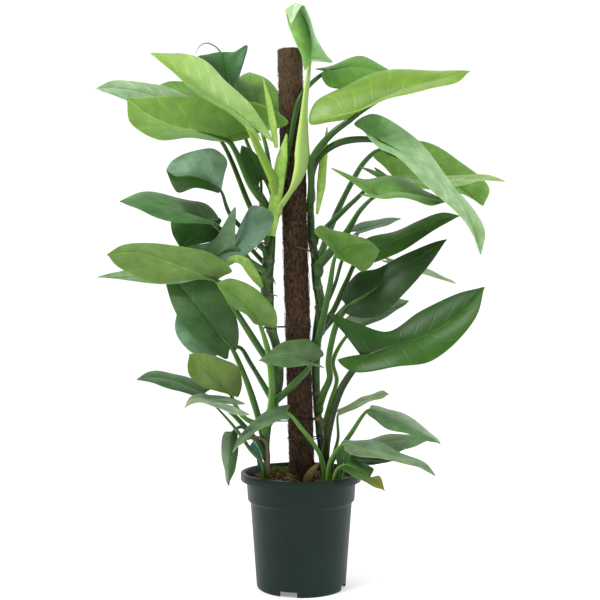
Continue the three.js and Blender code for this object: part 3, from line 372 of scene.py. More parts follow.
add_stem("stem_left", "stem_green", STEM_LEFT, LEFT_ROOTS)
add_stem("stem_right", "stem_dark", STEM_RIGHT, RIGHT_ROOTS)


# Sheaths, shoot and bract: lime papery wraps at the growing ends, ribbed along their length.
# The new shoot is still rolled up, and a dead brown sheath stands in the soil.
def wrap_skin(name, dark, light, rib, roughness):
    """Papery wrap: clouds about 10 mm wide, and pale ribs 2 mm apart as the attribute says."""
    made, tree = new_material(name)
    at = node(tree, "TexCoord", out="Object")
    ribs = node(tree, "Attribute", out="Fac", attribute_name="rib")
    ribs = node(tree, "Math", {0: ribs, 1: 0.5}, operation="PINGPONG")
    ribs = node(tree, "MapRange", {"Value": ribs, "From Min": 0.0, "From Max": 0.22, "To Min": 1.0,
                                   "To Max": 0.0})
    clouds = node(tree, "TexNoise", {"Vector": at, "Scale": 90.0, "Detail": 4.0})
    clouds = node(tree, "MapRange", {"Value": clouds, "From Min": 0.3, "From Max": 0.7})
    shade = node(tree, "Mix", {0: clouds, 6: linear(dark), 7: linear(light)}, **MIXING)
    faint = node(tree, "Math", {0: ribs, 1: 0.35}, operation="MULTIPLY")
    shade = node(tree, "Mix", {0: faint, 6: shade, 7: linear(rib)}, **MIXING)
    relief = node(tree, "Bump", {"Height": ribs, "Strength": 0.4, "Distance": 0.0004})
    node(tree, "OutputMaterial", {"Surface": node(tree, "BsdfPrincipled", {
        "Base Color": shade, "Roughness": roughness, "IOR": 1.45, "Normal": relief})})
    return made


fresh_wrap = wrap_skin("fresh_sheath_skin", "74A032", "A4CC5A", "C8E088", 0.4)
shoot_wrap = wrap_skin("rolled_shoot_skin", "86AC3E", "A8CA60", "CCE08C", 0.38)
bract_wrap = wrap_skin("bract_skin", "5E8A2C", "94B552", "B9CC78", 0.45)
dry_wrap = wrap_skin("dead_sheath_skin", "4C3822", "82693E", "939A52", 0.8)
# Wraps: the name, the run, the radii, the depth for the width, the material and the slot
WRAPS = [
    ("sheath_left", [[-47, 551, -27], [-43, 584, -25], [-38, 624, -28], [-32, 663, -33],
                     [-23, 712, -34]],
     [6, 10, 10, 9, 1.2], 0.6, fresh_wrap, "sheath_pale"),
    ("sheath_right", [[25, 585, -1], [31, 625, -6], [34, 660, -8], [41, 722, -8]],
     [2, 7, 6, 0.8], 0.4, fresh_wrap, "sheath_pale"),
    ("new_shoot", [[-39, 690, -35], [-46, 735, -40], [-51, 762, -42], [-60, 799, -42]],
     [3, 6, 4.5, 0.7], 1.0, shoot_wrap, "sheath_pale"),
    ("bract_curled", [[-62, 470, -28], [-76, 492, -56], [-92, 512, -66], [-110, 514, -70],
                      [-122, 502, -70]],
     [3, 7, 8, 6, 1.2], 0.22, bract_wrap, "bract_green"),
    ("sheath_dried", [[7, 142, -38], [10, 167, -41], [16, 178, -42], [23, 187, -42],
                      [30, 194, -42]],
     [3, 5, 7, 5, 1.2], 0.4, dry_wrap, "sheath_dry"),
]


def wrap_swell(share, angle):
    """Nine low ribs round a wrap, and the groove where its edges meet."""
    return 1 + 0.03 * math.sin(9 * angle) - 0.12 * max(0, math.cos(angle - 1.9)) ** 8


for name, run, radii, flat, made, slot_name in WRAPS:
    built = Build()
    built.tube([seen(p) for p in run], radii, sides=28, rings=70, flat=flat, swell=wrap_swell,
               tag=lambda share, angle, where: {"rib": angle / math.pi * 9})
    built.piece(name + "_wrap", [made], slot_name, name)


# Leaves: waxy arrow-shaped blades 0.9 mm thick with two lobes, each grown in one with its stalk.
# near and far are the rims towards and away from the front, and tint the colours of those halves,
# with the painted light and shade that falls on each half as well as the leaf's own colour;
# heel_tint and tip_tint, where given, are the colours at those ends, with painted shade and painted
# light in them as well as real colour such as the yellow of a dying tip; bloom is the silver wax on
# a blade, from 0 to 1, and stem the colour of its stalk.
LEAVES = [
    dict(name='leaf_left_far_pale', tint=('A2C08F', '88AB7E'), tip_tint='98B78D',
         stem='2D4F16', bloom=0.8, on='stem_left', stalk=[4.5, 4, 3.25],
         run=[[-62, 545, -10], [-81, 598, 12], [-125, 699, 42]],
         spine=[[-166, 746, 58], [-215, 765, 56], [-254, 778, 52], [-294, 784, 46], [-324, 784, 40]],
         near=[[-141, 746, 40], [-175, 769, 24], [-215, 785, 20], [-254, 795, 22], [-298, 795, 30]],
         far=[[-141, 734, 70], [-175, 740, 88], [-223, 753, 88], [-267, 762, 78], [-302, 774, 60]]),
    dict(name='leaf_left_broad', tint=('729A34', '759D40'), heel_tint='4B7622', tip_tint='7DA73E',
         stem='2D5417', bloom=0, on='stem_left', stalk=[5.25, 4.5, 4],
         run=[[-57, 592, -26], [-78, 628, -26]],
         spine=[[-112, 699, -15], [-160, 716, -15], [-204, 726, -17], [-242, 743, -20], [-275, 769, -28]],
         near=[[-20, 730, -24], [-60, 756, -26], [-136, 767, -42], [-191, 770, -47], [-242, 769, -42]],
         far=[[-66, 710, 10], [-125, 699, 22], [-175, 707, 25], [-227, 702, 22], [-268, 729, 5]]),
    dict(name='leaf_left_bright', tint=('699034', 'A2C276'), heel_tint='8BAF5B', tip_tint='8BB145',
         stem='6B8E2F', bloom=0, on='sheath_left', stalk=[6.5, 6, 5],
         run=[[-51, 640, -42], [-66, 686, -56]],
         spine=[[-85, 731, -70], [-120, 756, -72], [-160, 783, -74], [-197, 809, -72], [-237, 840, -64]],
         near=[[-62, 702, -96], [-97, 732, -108], [-131, 754, -114], [-172, 784, -112], [-210, 814, -96]],
         far=[[-44, 700, -54], [-71, 745, -48], [-113, 790, -42], [-147, 824, -40], [-191, 838, -44]]),
    dict(name='leaf_back_round', tint=('608D26', '4D7C1C'), heel_tint='406817', tip_tint='709A38',
         stem='4A7722', bloom=0, on='stem_left', stalk=[4.5, 3.75, 3.25],
         run=[[-42, 604, 6], [-55, 690, 32]],
         spine=[[-68, 737, 44], [-71, 759, 62], [-76, 778, 82], [-79, 794, 104], [-81, 809, 128]],
         near=[[-49, 731, 40], [-32, 750, 56], [-32, 769, 74], [-43, 787, 96], [-62, 803, 118]],
         far=[[-87, 731, 40], [-106, 753, 56], [-107, 775, 76], [-101, 794, 98], [-92, 806, 118]]),
    dict(name='leaf_left_high_dark', tint=('265C1A', '1F4C16'), heel_tint='184011', tip_tint='346C24',
         stem='3A611E', bloom=0, on='stem_left', stalk=[3.75, 3.25, 2.75],
         run=[[-68, 624, 0], [-86, 700, 44]],
         spine=[[-111, 786, 26], [-114, 800, 36], [-119, 816, 48], [-122, 830, 60], [-125, 841, 72]],
         near=[[-103, 781, 18], [-96, 806, 24], [-90, 828, 34], [-85, 851, 46], [-103, 842, 60]],
         far=[[-125, 784, 20], [-141, 800, 28], [-155, 816, 38], [-163, 832, 50], [-147, 838, 62]],
         tail=[[-136, 850, 80], [-149, 855, 80], [-160, 850, 76], [-167, 838, 72]]),
    dict(name='leaf_left_behind', tint=('6E9A35', '5F8B2E'),
         stem='3A611E', bloom=0, on='stem_left', stalk=[3.5, 3.25, 3],
         run=[[-62, 590, 12], [-105, 690, 66]],
         heel=[-146, 762, 104], tip=[-222, 790, 120], face=[0, -0.7, 0.7], width=62),
    dict(name='leaf_top_rolled', tint=('7DB052', 'ABCFA6'), heel_tint='6FA048', tip_tint='B4D2A4',
         stem='86A25A', bloom=0.5, on='sheath_left', stalk=[4, 9, 12, 9, 6, 4.5, 4],
         flat=0.55,
         run=[[-24, 596, -36], [-11, 631, -37], [0, 663, -37], [2, 700, -37], [5, 750, -35], [10, 797, -31]],
         spine=[[14, 826, -26], [16, 847, -14], [11, 879, -10], [-9, 918, -22], [-16, 885, -44]],
         near=[[6, 812, -38], [1, 835, -42], [-11, 860, -44], [-20, 884, -42], [-25, 908, -38]],
         far=[[50, 825, -28], [39, 838, -34], [23, 866, -40], [14, 896, -42], [3, 915, -38]]),
    dict(name='leaf_right_high_behind', tint=('5A8D2E', '5A8B32'), heel_tint='467923', tip_tint='5B8C30',
         stem='234913', bloom=0, on='sheath_left', stalk=[3.75, 3.75, 3.75, 3.75, 3.75],
         run=[[-23, 650, -25], [-17, 700, -25], [-11, 735, -26], [0, 772, -26]],
         spine=[[39, 811, 10], [69, 817, 24], [96, 815, 36], [121, 811, 46], [146, 806, 52]],
         near=[[31, 805, -2], [41, 787, -8], [66, 784, 0], [96, 791, 16], [124, 798, 34]],
         far=[[22, 813, 14], [47, 819, 32], [77, 832, 50], [99, 833, 62], [129, 819, 62]]),
    dict(name='leaf_right_broad_lime', tint=('7FA13E', '719728'), heel_tint='88AB4D', tip_tint='7CA432',
         stem='224713', bloom=0, on='stem_right', stalk=[5.25, 5.25, 5.25, 5.25, 4.5],
         run=[[14, 600, 2], [16, 634, -18], [17, 671, -34], [45, 709, -46]],
         spine=[[77, 737, -50], [124, 765, -54], [168, 786, -58], [216, 797, -62], [266, 811, -66]],
         near=[[33, 733, -84], [96, 748, -98], [140, 770, -106], [195, 780, -100], [242, 792, -84]],
         far=[[14, 726, -40], [23, 761, -28], [69, 789, -14], [132, 810, -14], [211, 813, -34]]),
    dict(name='leaf_right_drooping', tint=('88AA78', '8CAE7A'), heel_tint='6A9E58', tip_tint='85A86F',
         stem='204210', bloom=0.6, on='stem_right', stalk=[4.75, 4.75, 5.5, 5.5, 4.75],
         run=[[19, 616, 6], [16, 640, -4], [26, 672, -16], [60, 698, -44]],
         spine=[[110, 705, -66], [153, 685, -78], [200, 657, -86], [250, 606, -90], [284, 522, -88]],
         near=[[102, 709, -92], [121, 691, -108], [148, 679, -118], [195, 631, -122], [256, 578, -112]],
         far=[[83, 727, -36], [115, 744, -46], [176, 708, -54], [232, 640, -66], [288, 566, -80]]),
    dict(name='leaf_right_olive', tint=('719B42', '6C9540'), heel_tint='608A34', tip_tint='629035',
         stem='36582C', bloom=0.3, on='stem_right', stalk=[5.25, 5.25, 4.5, 4.5, 4],
         run=[[33, 516, 14], [45, 560, 26], [58, 592, 34], [80, 636, 44], [100, 668, 52]],
         spine=[[123, 686, 56], [164, 671, 68], [206, 652, 80], [247, 630, 90], [287, 598, 96]],
         near=[[113, 677, 54], [131, 660, 56], [159, 633, 62], [206, 623, 74], [254, 617, 86]],
         far=[[118, 699, 52], [148, 702, 60], [200, 698, 72], [247, 671, 84], [296, 627, 94]]),
    dict(name='leaf_right_level', tint=('7C9D59', '7DA559'), heel_tint='47713A', tip_tint='94B272',
         stem='224713', bloom=0.4, on='stem_right', stalk=[4.5, 3.75, 3],
         run=[[33, 548, 8], [82, 605, 4]],
         spine=[[124, 642, 2], [175, 642, 6], [225, 641, 10], [276, 641, 16], [321, 638, 22]],
         near=[[93, 658, -4], [132, 646, -22], [175, 645, -24], [228, 644, -18], [288, 649, -4]],
         far=[[115, 658, 16], [143, 642, 34], [179, 634, 38], [235, 629, 40], [285, 639, 34]]),
    dict(name='leaf_right_mid', tint=('6E9A48', '6A9644'), heel_tint='5C8A3A', tip_tint='4F782D',
         stem='2B4F1E', bloom=0.3, on='stem_right', stalk=[7, 5.75, 5.25, 4, 3.5],
         run=[[32, 506, 0], [50, 530, -6], [72, 557, -16], [92, 590, -50]],
         spine=[[112, 612, -70], [140, 620, -74], [168, 619, -78], [200, 612, -80], [231, 605, -80]],
         near=[[93, 614, -92], [124, 610, -108], [149, 612, -112], [178, 606, -108], [206, 600, -98]],
         far=[[47, 657, -46], [96, 642, -40], [135, 645, -36], [172, 636, -42], [203, 619, -62]]),
    dict(name='leaf_centre_right', tint=('53782B', '688A40'), heel_tint='456D24', tip_tint='5B8533',
         stem='30561E', bloom=0.3, on='stem_right', stalk=[5, 5, 4.5, 3.75],
         run=[[27, 384, 2], [34, 418, -10], [44, 466, -34]],
         spine=[[56, 522, -62], [74, 535, -50], [90, 541, -36], [108, 538, -22], [124, 528, -12]],
         near=[[53, 518, -76], [80, 504, -70], [96, 496, -60], [107, 500, -46], [118, 516, -26]],
         far=[[20, 557, -66], [30, 567, -54], [55, 560, -42], [80, 552, -32], [105, 545, -20]]),
    dict(name='leaf_right_dark_upper', tint=('2D5318', '3E6427'),
         stem='224110', bloom=0.3, on='stem_right', stalk=[4.5, 4.5, 3.75, 3.75],
         run=[[36, 408, 16], [52, 436, 18], [70, 476, 18]],
         spine=[[93, 522, 16], [137, 540, 24], [179, 559, 32], [219, 576, 38], [250, 583, 42]],
         near=[[86, 510, 8], [113, 508, 6], [150, 523, 12], [187, 545, 20], [222, 567, 28]],
         far=[[80, 532, 22], [108, 548, 34], [148, 559, 44], [187, 575, 50], [224, 588, 46]]),
    dict(name='leaf_right_slim', tint=('608260', '4E724B'),
         stem='3A592F', bloom=0.8, on='stem_right', stalk=[3.5, 3, 3, 2.5],
         run=[[36, 430, 24], [53, 474, 34], [66, 516, 44]],
         heel=[92, 558, 62], tip=[157, 579, 110], face=[0, -0.3, 0.95], width=44),
    dict(name='leaf_right_dark_broad', tint=('25441A', '1F3E14'),
         stem='2F5619', bloom=0.6, on='stem_right', stalk=[5.5, 4.75, 4.75, 4.75, 4.75],
         run=[[33, 285, 2], [36, 305, -2], [45, 327, -6], [43, 352, -10], [57, 415, -16]],
         spine=[[72, 439, -16], [112, 464, -14], [153, 494, -12], [194, 521, -8], [230, 546, -2]],
         near=[[69, 430, -20], [86, 423, -26], [124, 426, -30], [164, 461, -28], [203, 507, -16]],
         far=[[63, 453, -12], [90, 493, -2], [121, 500, 2], [164, 522, 2], [203, 539, 2]]),
    dict(name='leaf_right_small_pale', tint=('8DA67A', '7A966A'),
         stem='3A592F', bloom=0.9, on='stem_right', stalk=[3.5, 3, 2.5],
         run=[[36, 396, 26], [95, 465, 54]],
         heel=[150, 505, 70], tip=[244, 477, 80], face=[0, -0.3, 0.95], width=40),
    dict(name='leaf_right_grey_fold', tint=('809675', '56734B'),
         stem='3D6322', bloom=0.9, on='stem_right', stalk=[4.25, 3.5, 3.5, 3.5, 3],
         run=[[38, 243, 20], [47, 292, 24], [56, 324, 28], [50, 352, 28], [69, 390, 30]],
         heel=[90, 410, 34], tip=[170, 449, 70], face=[0, -0.6, 0.8], width=50, fold=30),
    dict(name='leaf_right_low_broad', tint=('37611C', '2C5319'),
         stem='172D10', bloom=0, on='stem_right', stalk=[6, 6, 6, 5.5, 4.75],
         run=[[42, 190, -8], [42, 237, -12], [53, 284, -22], [68, 319, -36]],
         spine=[[97, 358, -55], [153, 381, -62], [200, 396, -66], [247, 426, -64], [289, 471, -56]],
         near=[[58, 355, -72], [80, 338, -80], [148, 344, -90], [205, 354, -90], [275, 422, -78]],
         far=[[44, 429, -52], [86, 415, -50], [137, 399, -50], [187, 433, -44], [244, 458, -46]]),
    dict(name='leaf_front_small', tint=('4E6E40', '4D6B3B'),
         stem='305625', bloom=0.6, on='stem_left', stalk=[5.5, 5.5, 4.75],
         run=[[-39, 289, -38], [-18, 311, -42]],
         spine=[[15, 349, -52], [-5, 360, -66], [-25, 365, -78], [-46, 362, -88], [-66, 355, -96]],
         near=[[37, 344, -70], [17, 348, -84], [-3, 345, -94], [-25, 345, -100], [-48, 348, -102]],
         far=[[36, 365, -44], [17, 384, -40], [-2, 388, -46], [-22, 386, -54], [-48, 370, -74]]),
    dict(name='leaf_left_near_light', tint=('5E8337', '66893A'),
         stem='477325', bloom=0, on='stem_left', stalk=[5.25, 5.25, 5.25, 4],
         run=[[-47, 266, -34], [-46, 316, -48], [-52, 368, -50]],
         spine=[[-63, 410, -58], [-78, 433, -70], [-95, 452, -82], [-114, 467, -92], [-133, 477, -102]],
         near=[[-73, 412, -68], [-87, 426, -84], [-104, 437, -94], [-119, 453, -104], [-128, 466, -106]],
         far=[[-41, 407, -52], [-41, 431, -46], [-55, 453, -52], [-78, 471, -66], [-112, 484, -90]]),
    dict(name='leaf_left_long_light', tint=('5E8031', '608131'),
         stem='30541E', bloom=0.2, on='stem_left', stalk=[5.25, 5.25, 4.5, 4],
         run=[[-50, 338, -26], [-62, 368, -34], [-109, 442, -66]],
         spine=[[-133, 481, -76], [-166, 494, -84], [-210, 511, -90], [-257, 526, -96], [-306, 522, -100]],
         near=[[-109, 496, -84], [-134, 519, -106], [-175, 531, -120], [-230, 540, -124], [-283, 535, -116]],
         far=[[-119, 477, -62], [-148, 481, -56], [-191, 481, -54], [-235, 477, -60], [-286, 500, -80]]),
    dict(name='leaf_left_mid', tint=('436B38', '56794B'),
         stem='2D4F22', bloom=0.5, on='stem_left', stalk=[4.5, 4.5, 4.5, 3.75],
         run=[[-66, 484, -20], [-100, 536, -24], [-126, 560, -34]],
         spine=[[-141, 575, -48], [-175, 587, -52], [-215, 598, -58], [-254, 606, -64], [-286, 606, -68]],
         near=[[-137, 571, -58], [-155, 571, -78], [-186, 570, -92], [-226, 581, -98], [-260, 593, -90]],
         far=[[-130, 578, -38], [-145, 597, -24], [-175, 607, -18], [-223, 619, -26], [-260, 617, -44]]),
    dict(name='leaf_left_shaded', tint=('2D5820', '2F5A1F'),
         stem='294C1E', bloom=0.3, on='stem_left', stalk=[3.5, 3.5, 3],
         run=[[-64, 508, -8], [-95, 545, 0]],
         spine=[[-130, 563, 2], [-148, 560, 4], [-166, 554, 6], [-180, 545, 8], [-190, 531, 8]],
         near=[[-122, 554, -2], [-134, 545, -4], [-150, 540, -2], [-166, 537, 2], [-178, 533, 5]],
         far=[[-126, 576, 6], [-150, 589, 10], [-178, 589, 12], [-204, 579, 12], [-203, 556, 10]]),
    dict(name='leaf_left_two_lobed', tint=('4E7055', '62845C'), tip_tint='72925E',
         stem='3A5D32', bloom=0.7, on='stem_left', stalk=[4.75, 4.25, 3.5],
         run=[[-66, 496, -36], [-84, 514, -46]],
         spine=[[-104, 534, -50], [-125, 526, -46], [-160, 510, -38], [-223, 494, -18], [-322, 486, 10]],
         near=[[-78, 597, -52], [-44, 584, -50], [-52, 557, -54], [-100, 510, -58], [-191, 478, -28]],
         far=[[-104, 595, -46], [-122, 570, -46], [-141, 543, -42], [-183, 532, -30], [-270, 500, -2]]),
    dict(name='leaf_left_folded_grey', tint=('1C4008', '688868'),
         stem='294B1E', bloom=0.8, on='stem_left', stalk=[4.25, 3.5, 3],
         run=[[-64, 528, -26], [-112, 585, -34]],
         spine=[[-126, 623, -34], [-149, 638, -38], [-175, 647, -42], [-199, 646, -42], [-213, 655, -38]],
         near=[[-130, 619, -58], [-141, 623, -72], [-167, 626, -80], [-191, 620, -76], [-202, 628, -60]],
         far=[[-117, 671, -22], [-136, 688, -18], [-160, 686, -14], [-182, 682, -14], [-204, 668, -22]]),
    dict(name='leaf_left_inner', tint=('365F21', '305619'),
         stem='2D511C', bloom=0.4, on='stem_left', stalk=[3.25, 3.25, 2.75],
         run=[[-58, 562, -6], [-63, 600, -4]],
         heel=[-64, 640, -1], tip=[-94, 694, -1], face=[-0.3, -0.9, 0.2], width=34, lobe=0.12),
    dict(name='leaf_left_low_dark', tint=('3B5E2D', '426634'),
         stem='3A6122', bloom=0.4, on='stem_left', stalk=[5.25, 5.25, 4.5, 4],
         run=[[-64, 236, -10], [-72, 280, -10], [-88, 327, -22]],
         spine=[[-112, 378, -34], [-134, 403, -30], [-161, 437, -20], [-189, 470, -4], [-219, 504, 12]],
         near=[[-103, 371, -34], [-98, 396, -38], [-104, 428, -38], [-122, 463, -30], [-166, 497, -4]],
         far=[[-117, 357, -36], [-147, 374, -36], [-175, 396, -32], [-199, 433, -18], [-213, 474, 0]]),
    dict(name='leaf_left_low_behind', tint=('6E966F', '5D8960'),
         stem='3A5D2F', bloom=0.8, on='stem_left', stalk=[4.5, 3.75, 3.75, 3],
         run=[[-50, 294, -6], [-80, 350, 4], [-97, 375, 12]],
         spine=[[-122, 373, 22], [-141, 382, 24], [-160, 395, 26], [-179, 411, 28], [-196, 429, 30]],
         near=[[-133, 362, 10], [-153, 362, 6], [-174, 368, 6], [-191, 385, 10], [-199, 407, 18]],
         far=[[-112, 385, 32], [-125, 406, 40], [-144, 420, 44], [-163, 428, 42], [-180, 433, 36]]),
    dict(name='leaf_left_low_light', tint=('56722C', '5E7832'),
         stem='476F25', bloom=0.3, on='stem_left', stalk=[4.5, 3.75, 3.75, 3],
         run=[[-66, 249, -28], [-89, 264, -44], [-104, 284, -58]],
         spine=[[-109, 299, -68], [-126, 317, -76], [-144, 335, -84], [-161, 351, -90], [-176, 365, -94]],
         near=[[-120, 303, -80], [-139, 308, -90], [-158, 314, -98], [-175, 329, -102], [-179, 347, -100]],
         far=[[-100, 297, -60], [-93, 319, -58], [-100, 344, -62], [-122, 356, -70], [-150, 366, -82]]),
    dict(name='leaf_left_low_far', tint=('3F6437', '436439'),
         stem='30541B', bloom=0.4, on='stem_left', stalk=[4.5, 3.75, 3],
         run=[[-64, 216, -12], [-110, 272, -28]],
         spine=[[-152, 303, -44], [-178, 314, -46], [-207, 324, -48], [-234, 328, -52], [-259, 325, -56]],
         near=[[-148, 297, -54], [-172, 300, -66], [-197, 307, -72], [-223, 316, -72], [-243, 321, -66]],
         far=[[-142, 311, -34], [-166, 322, -22], [-191, 332, -20], [-218, 337, -24], [-242, 336, -38]]),
    dict(name='leaf_left_low_edge', tint=('819A79', '6A8562'), tip_tint='878246', stem='3A5629', bloom=0.9,
         stalk=[3, 3, 3, 2.5],
         run=[[-56, 138, -36], [-62, 192, -37], [-80, 214, -42], [-98, 240, -68], [-116, 262, -86]],
         spine=[[-141, 289, -88], [-152, 293, -90], [-163, 295, -92], [-174, 292, -94], [-184, 281, -96]],
         near=[[-81, 270, -102], [-108, 270, -112], [-134, 281, -112], [-155, 288, -106], [-172, 286, -100]],
         far=[[-89, 286, -76], [-112, 295, -66], [-141, 301, -66], [-160, 301, -74], [-175, 297, -84]]),
    dict(name='leaf_front_low_pale', tint=('5A7550', '516D48'),
         stem='4A722A', bloom=0.9, stalk=[4.25, 3.5, 3.5, 3.5, 3],
         run=[[38, 138, -26], [33, 196, -32], [19, 224, -44], [4, 243, -54]],
         spine=[[-22, 273, -64], [-44, 265, -72], [-67, 254, -82], [-89, 236, -94], [-109, 210, -106]],
         near=[[-18, 262, -76], [-35, 261, -88], [-57, 250, -98], [-78, 236, -106], [-95, 223, -110]],
         far=[[-18, 284, -54], [-32, 284, -50], [-52, 275, -56], [-76, 259, -70], [-98, 234, -92]]),
    dict(name='leaf_left_hanging', tint=('274810', '637C59'),
         stem='294C1E', bloom=0.5, on='stem_left', stalk=[3.5, 3, 3, 2.5],
         run=[[-62, 208, -24], [-76, 236, -34], [-94, 250, -46]],
         spine=[[-108, 243, -58], [-112, 223, -64], [-114, 201, -66], [-114, 179, -66], [-115, 157, -64]],
         near=[[-101, 243, -56], [-100, 228, -68], [-100, 206, -78], [-103, 185, -78], [-111, 168, -72]],
         far=[[-120, 242, -52], [-126, 229, -50], [-125, 209, -52], [-122, 187, -54], [-119, 169, -58]]),
    dict(name='leaf_right_low_thin', tint=('718B5A', '7F9669'),
         stem='4A6D29', bloom=0.9, stalk=[3, 3, 3, 2.5],
         run=[[46, 138, 28], [50, 200, 34], [58, 232, 38]],
         spine=[[58, 272, 38], [77, 280, 44], [96, 289, 50], [116, 298, 56], [138, 302, 62]],
         near=[[58, 267, 28], [75, 275, 26], [96, 284, 30], [116, 292, 38], [131, 297, 50]],
         far=[[53, 275, 48], [69, 283, 58], [90, 293, 66], [108, 301, 70], [127, 307, 68]]),
    dict(name='leaf_right_low_slope', tint=('4E7342', '839E79'),
         stem='477025', bloom=0.8, on='stem_right', stalk=[4, 4, 3.25],
         run=[[48, 184, 2], [76, 236, -8]],
         spine=[[107, 278, -18], [137, 269, -22], [165, 256, -28], [194, 240, -34], [220, 224, -40]],
         near=[[104, 270, -30], [116, 260, -44], [137, 248, -52], [167, 238, -54], [198, 229, -50]],
         far=[[110, 283, -6], [127, 281, 6], [153, 275, 8], [186, 254, -4], [211, 236, -24]]),
    dict(name='leaf_right_low_front', tint=('698256', '65825D'), stem='476F2F', bloom=0.9,
         stalk=[3.25, 3.25, 2.75],
         run=[[40, 138, -44], [46, 196, -50]],
         spine=[[66, 223, -62], [102, 215, -68], [140, 205, -74], [178, 192, -80], [212, 174, -86]],
         near=[[69, 213, -76], [86, 206, -92], [115, 201, -100], [156, 194, -100], [192, 185, -94]],
         far=[[67, 229, -48], [85, 229, -40], [118, 227, -42], [156, 210, -54], [195, 193, -70]]),
    dict(name='leaf_right_low_back', tint=('638555', '6E895E'), stem='476D2F', bloom=0.7, stalk=[3.5, 3, 2.5],
         run=[[58, 138, 8], [76, 196, 6]],
         spine=[[96, 220, 4], [123, 224, 8], [148, 228, 12], [173, 229, 16], [198, 228, 20]],
         near=[[102, 213, -8], [124, 208, -18], [151, 208, -16], [165, 215, -6], [184, 221, 6]],
         far=[[93, 228, 16], [108, 231, 26], [134, 237, 32], [161, 239, 34], [184, 236, 28]]),
    dict(name='leaf_right_low_dark', tint=('2C4F14', '254410'), stem='3A6022', bloom=0,
         stalk=[2.75, 2.75, 2.25],
         run=[[52, 138, -22], [60, 186, -26]],
         spine=[[71, 200, -30], [90, 199, -32], [108, 198, -34], [129, 197, -35], [148, 198, -36]],
         near=[[72, 196, -40], [86, 193, -46], [104, 191, -48], [120, 191, -46], [135, 194, -42]],
         far=[[71, 205, -22], [83, 206, -18], [101, 204, -18], [120, 202, -22], [135, 200, -28]]),
    dict(name='leaf_right_low_torn', tint=('47692D', '476E34'), tip_tint='83802F', stem='476D29', bloom=0,
         stalk=[2.75, 2.75, 2.25],
         run=[[48, 138, -60], [56, 182, -64]],
         spine=[[69, 191, -72], [85, 185, -78], [101, 175, -84], [116, 165, -90], [132, 150, -96]],
         near=[[64, 183, -84], [74, 177, -94], [90, 169, -100], [105, 160, -102], [120, 154, -100]],
         far=[[80, 199, -64], [102, 193, -66], [114, 183, -74], [109, 170, -82], [123, 173, -88]]),
    dict(name='leaf_right_low_young', tint=('456A36', '527D40'), stem='476D29', bloom=0, stalk=[2, 2, 1.5],
         run=[[58, 138, -38], [62, 182, -38]],
         heel=[66, 197, -40], tip=[72, 230, -44], face=[-0.5, -0.8, 0.3], width=26),
]
# The rim of a plain blade: shares of its length, -1 for the lobe, and of half its width
PLAIN_RIM = [(-1, 0.5), (0.08, 0.96), (0.36, 1), (0.64, 0.8), (0.86, 0.42)]
# The net over half a blade: rows along the rim, of which the first three spans fan out over the
# lobe, and columns from the spine to the rim
RIM_SPANS = 7
SHOULDER = 3
ROWS = 8 * RIM_SPANS
COLUMNS = [0, 0.02, 0.05, 0.1, 0.18, 0.28, 0.38, 0.48, 0.58, 0.68, 0.78, 0.87, 0.94, 1]
FAN_CENTRE = 0.07
# Side veins to a half, and how far they sweep forward to the rim, in steps from vein to vein
VEINS = 7
VEIN_SWEEP = 2.5
# The bulge of a half as a share of its width; the groove over the midrib, the ridges of the veins,
# the keel under the midrib and half the thickness in millimetres
BULGE = 0.07
MIDRIB_GROOVE = 0.5
VEIN_RIDGE = 0.22
KEEL = 1.1
BLADE_HALF = 0.45
# Painted shade at the heel and painted light at the tip, as factors on the halves' colours, for a
# blade that gives no colours of its own for them
HEEL_PAINTED_SHADE = 0.72
TIP_PAINTED_LIGHT = 1.08


def plain_form(leaf):
    """Spine and rims of a blade given by its heel, tip, width and facing."""
    heel = seen(leaf["heel"])
    ahead = seen(leaf["tip"]) - heel
    length = ahead.length
    ahead.normalize()
    face = Vector(leaf["face"])
    face = (face - ahead * face.dot(ahead)).normalized()
    left = face.cross(ahead)
    raised = math.radians(leaf.get("fold", 12))

    def spot(share, wide):
        reach = abs(wide) * leaf["width"] / 2
        side = 0 if wide == 0 else math.copysign(reach, wide)
        return (heel + ahead * share * length
                + left * side * math.cos(raised) + face * reach * math.sin(raised))

    lobe = leaf.get("lobe", 0.26)
    rims = [[spot(-lobe if share < 0 else share, side * wide) for share, wide in PLAIN_RIM]
            for side in (1, -1)]
    return [spot(share, 0) for share in (0, 0.25, 0.5, 0.75, 1)], rims


def leaf_form(leaf):
    """Spine and rims as curves, and the way that the upper face looks."""
    if "spine" in leaf:
        spine = [seen(p) for p in leaf["spine"]]
        rims = [[seen(p) for p in leaf["near"]], [seen(p) for p in leaf["far"]]]
    else:
        spine, rims = plain_form(leaf)
    heel, tip = spine[0], spine[-1]
    curves = [Curve([heel, heel.lerp(rim[0], 0.5), *rim, tip]) for rim in rims]
    face = (tip - heel).normalized().cross(rims[0][2] - rims[1][2]).normalized()
    if face.dot(Vector((0, -0.4, 1))) < 0:
        face.negate()
    return Curve(spine), curves, face


def end_tints(leaf, key, halves, shade):
    """The colours of both halves at one end of a blade: those given for that end, else the halves' colours
    with painted shade at the heel and painted light at the tip.
    """
    if key in leaf:
        return [linear(leaf[key])] * 2
    return [[shade * v for v in half] for half in halves]


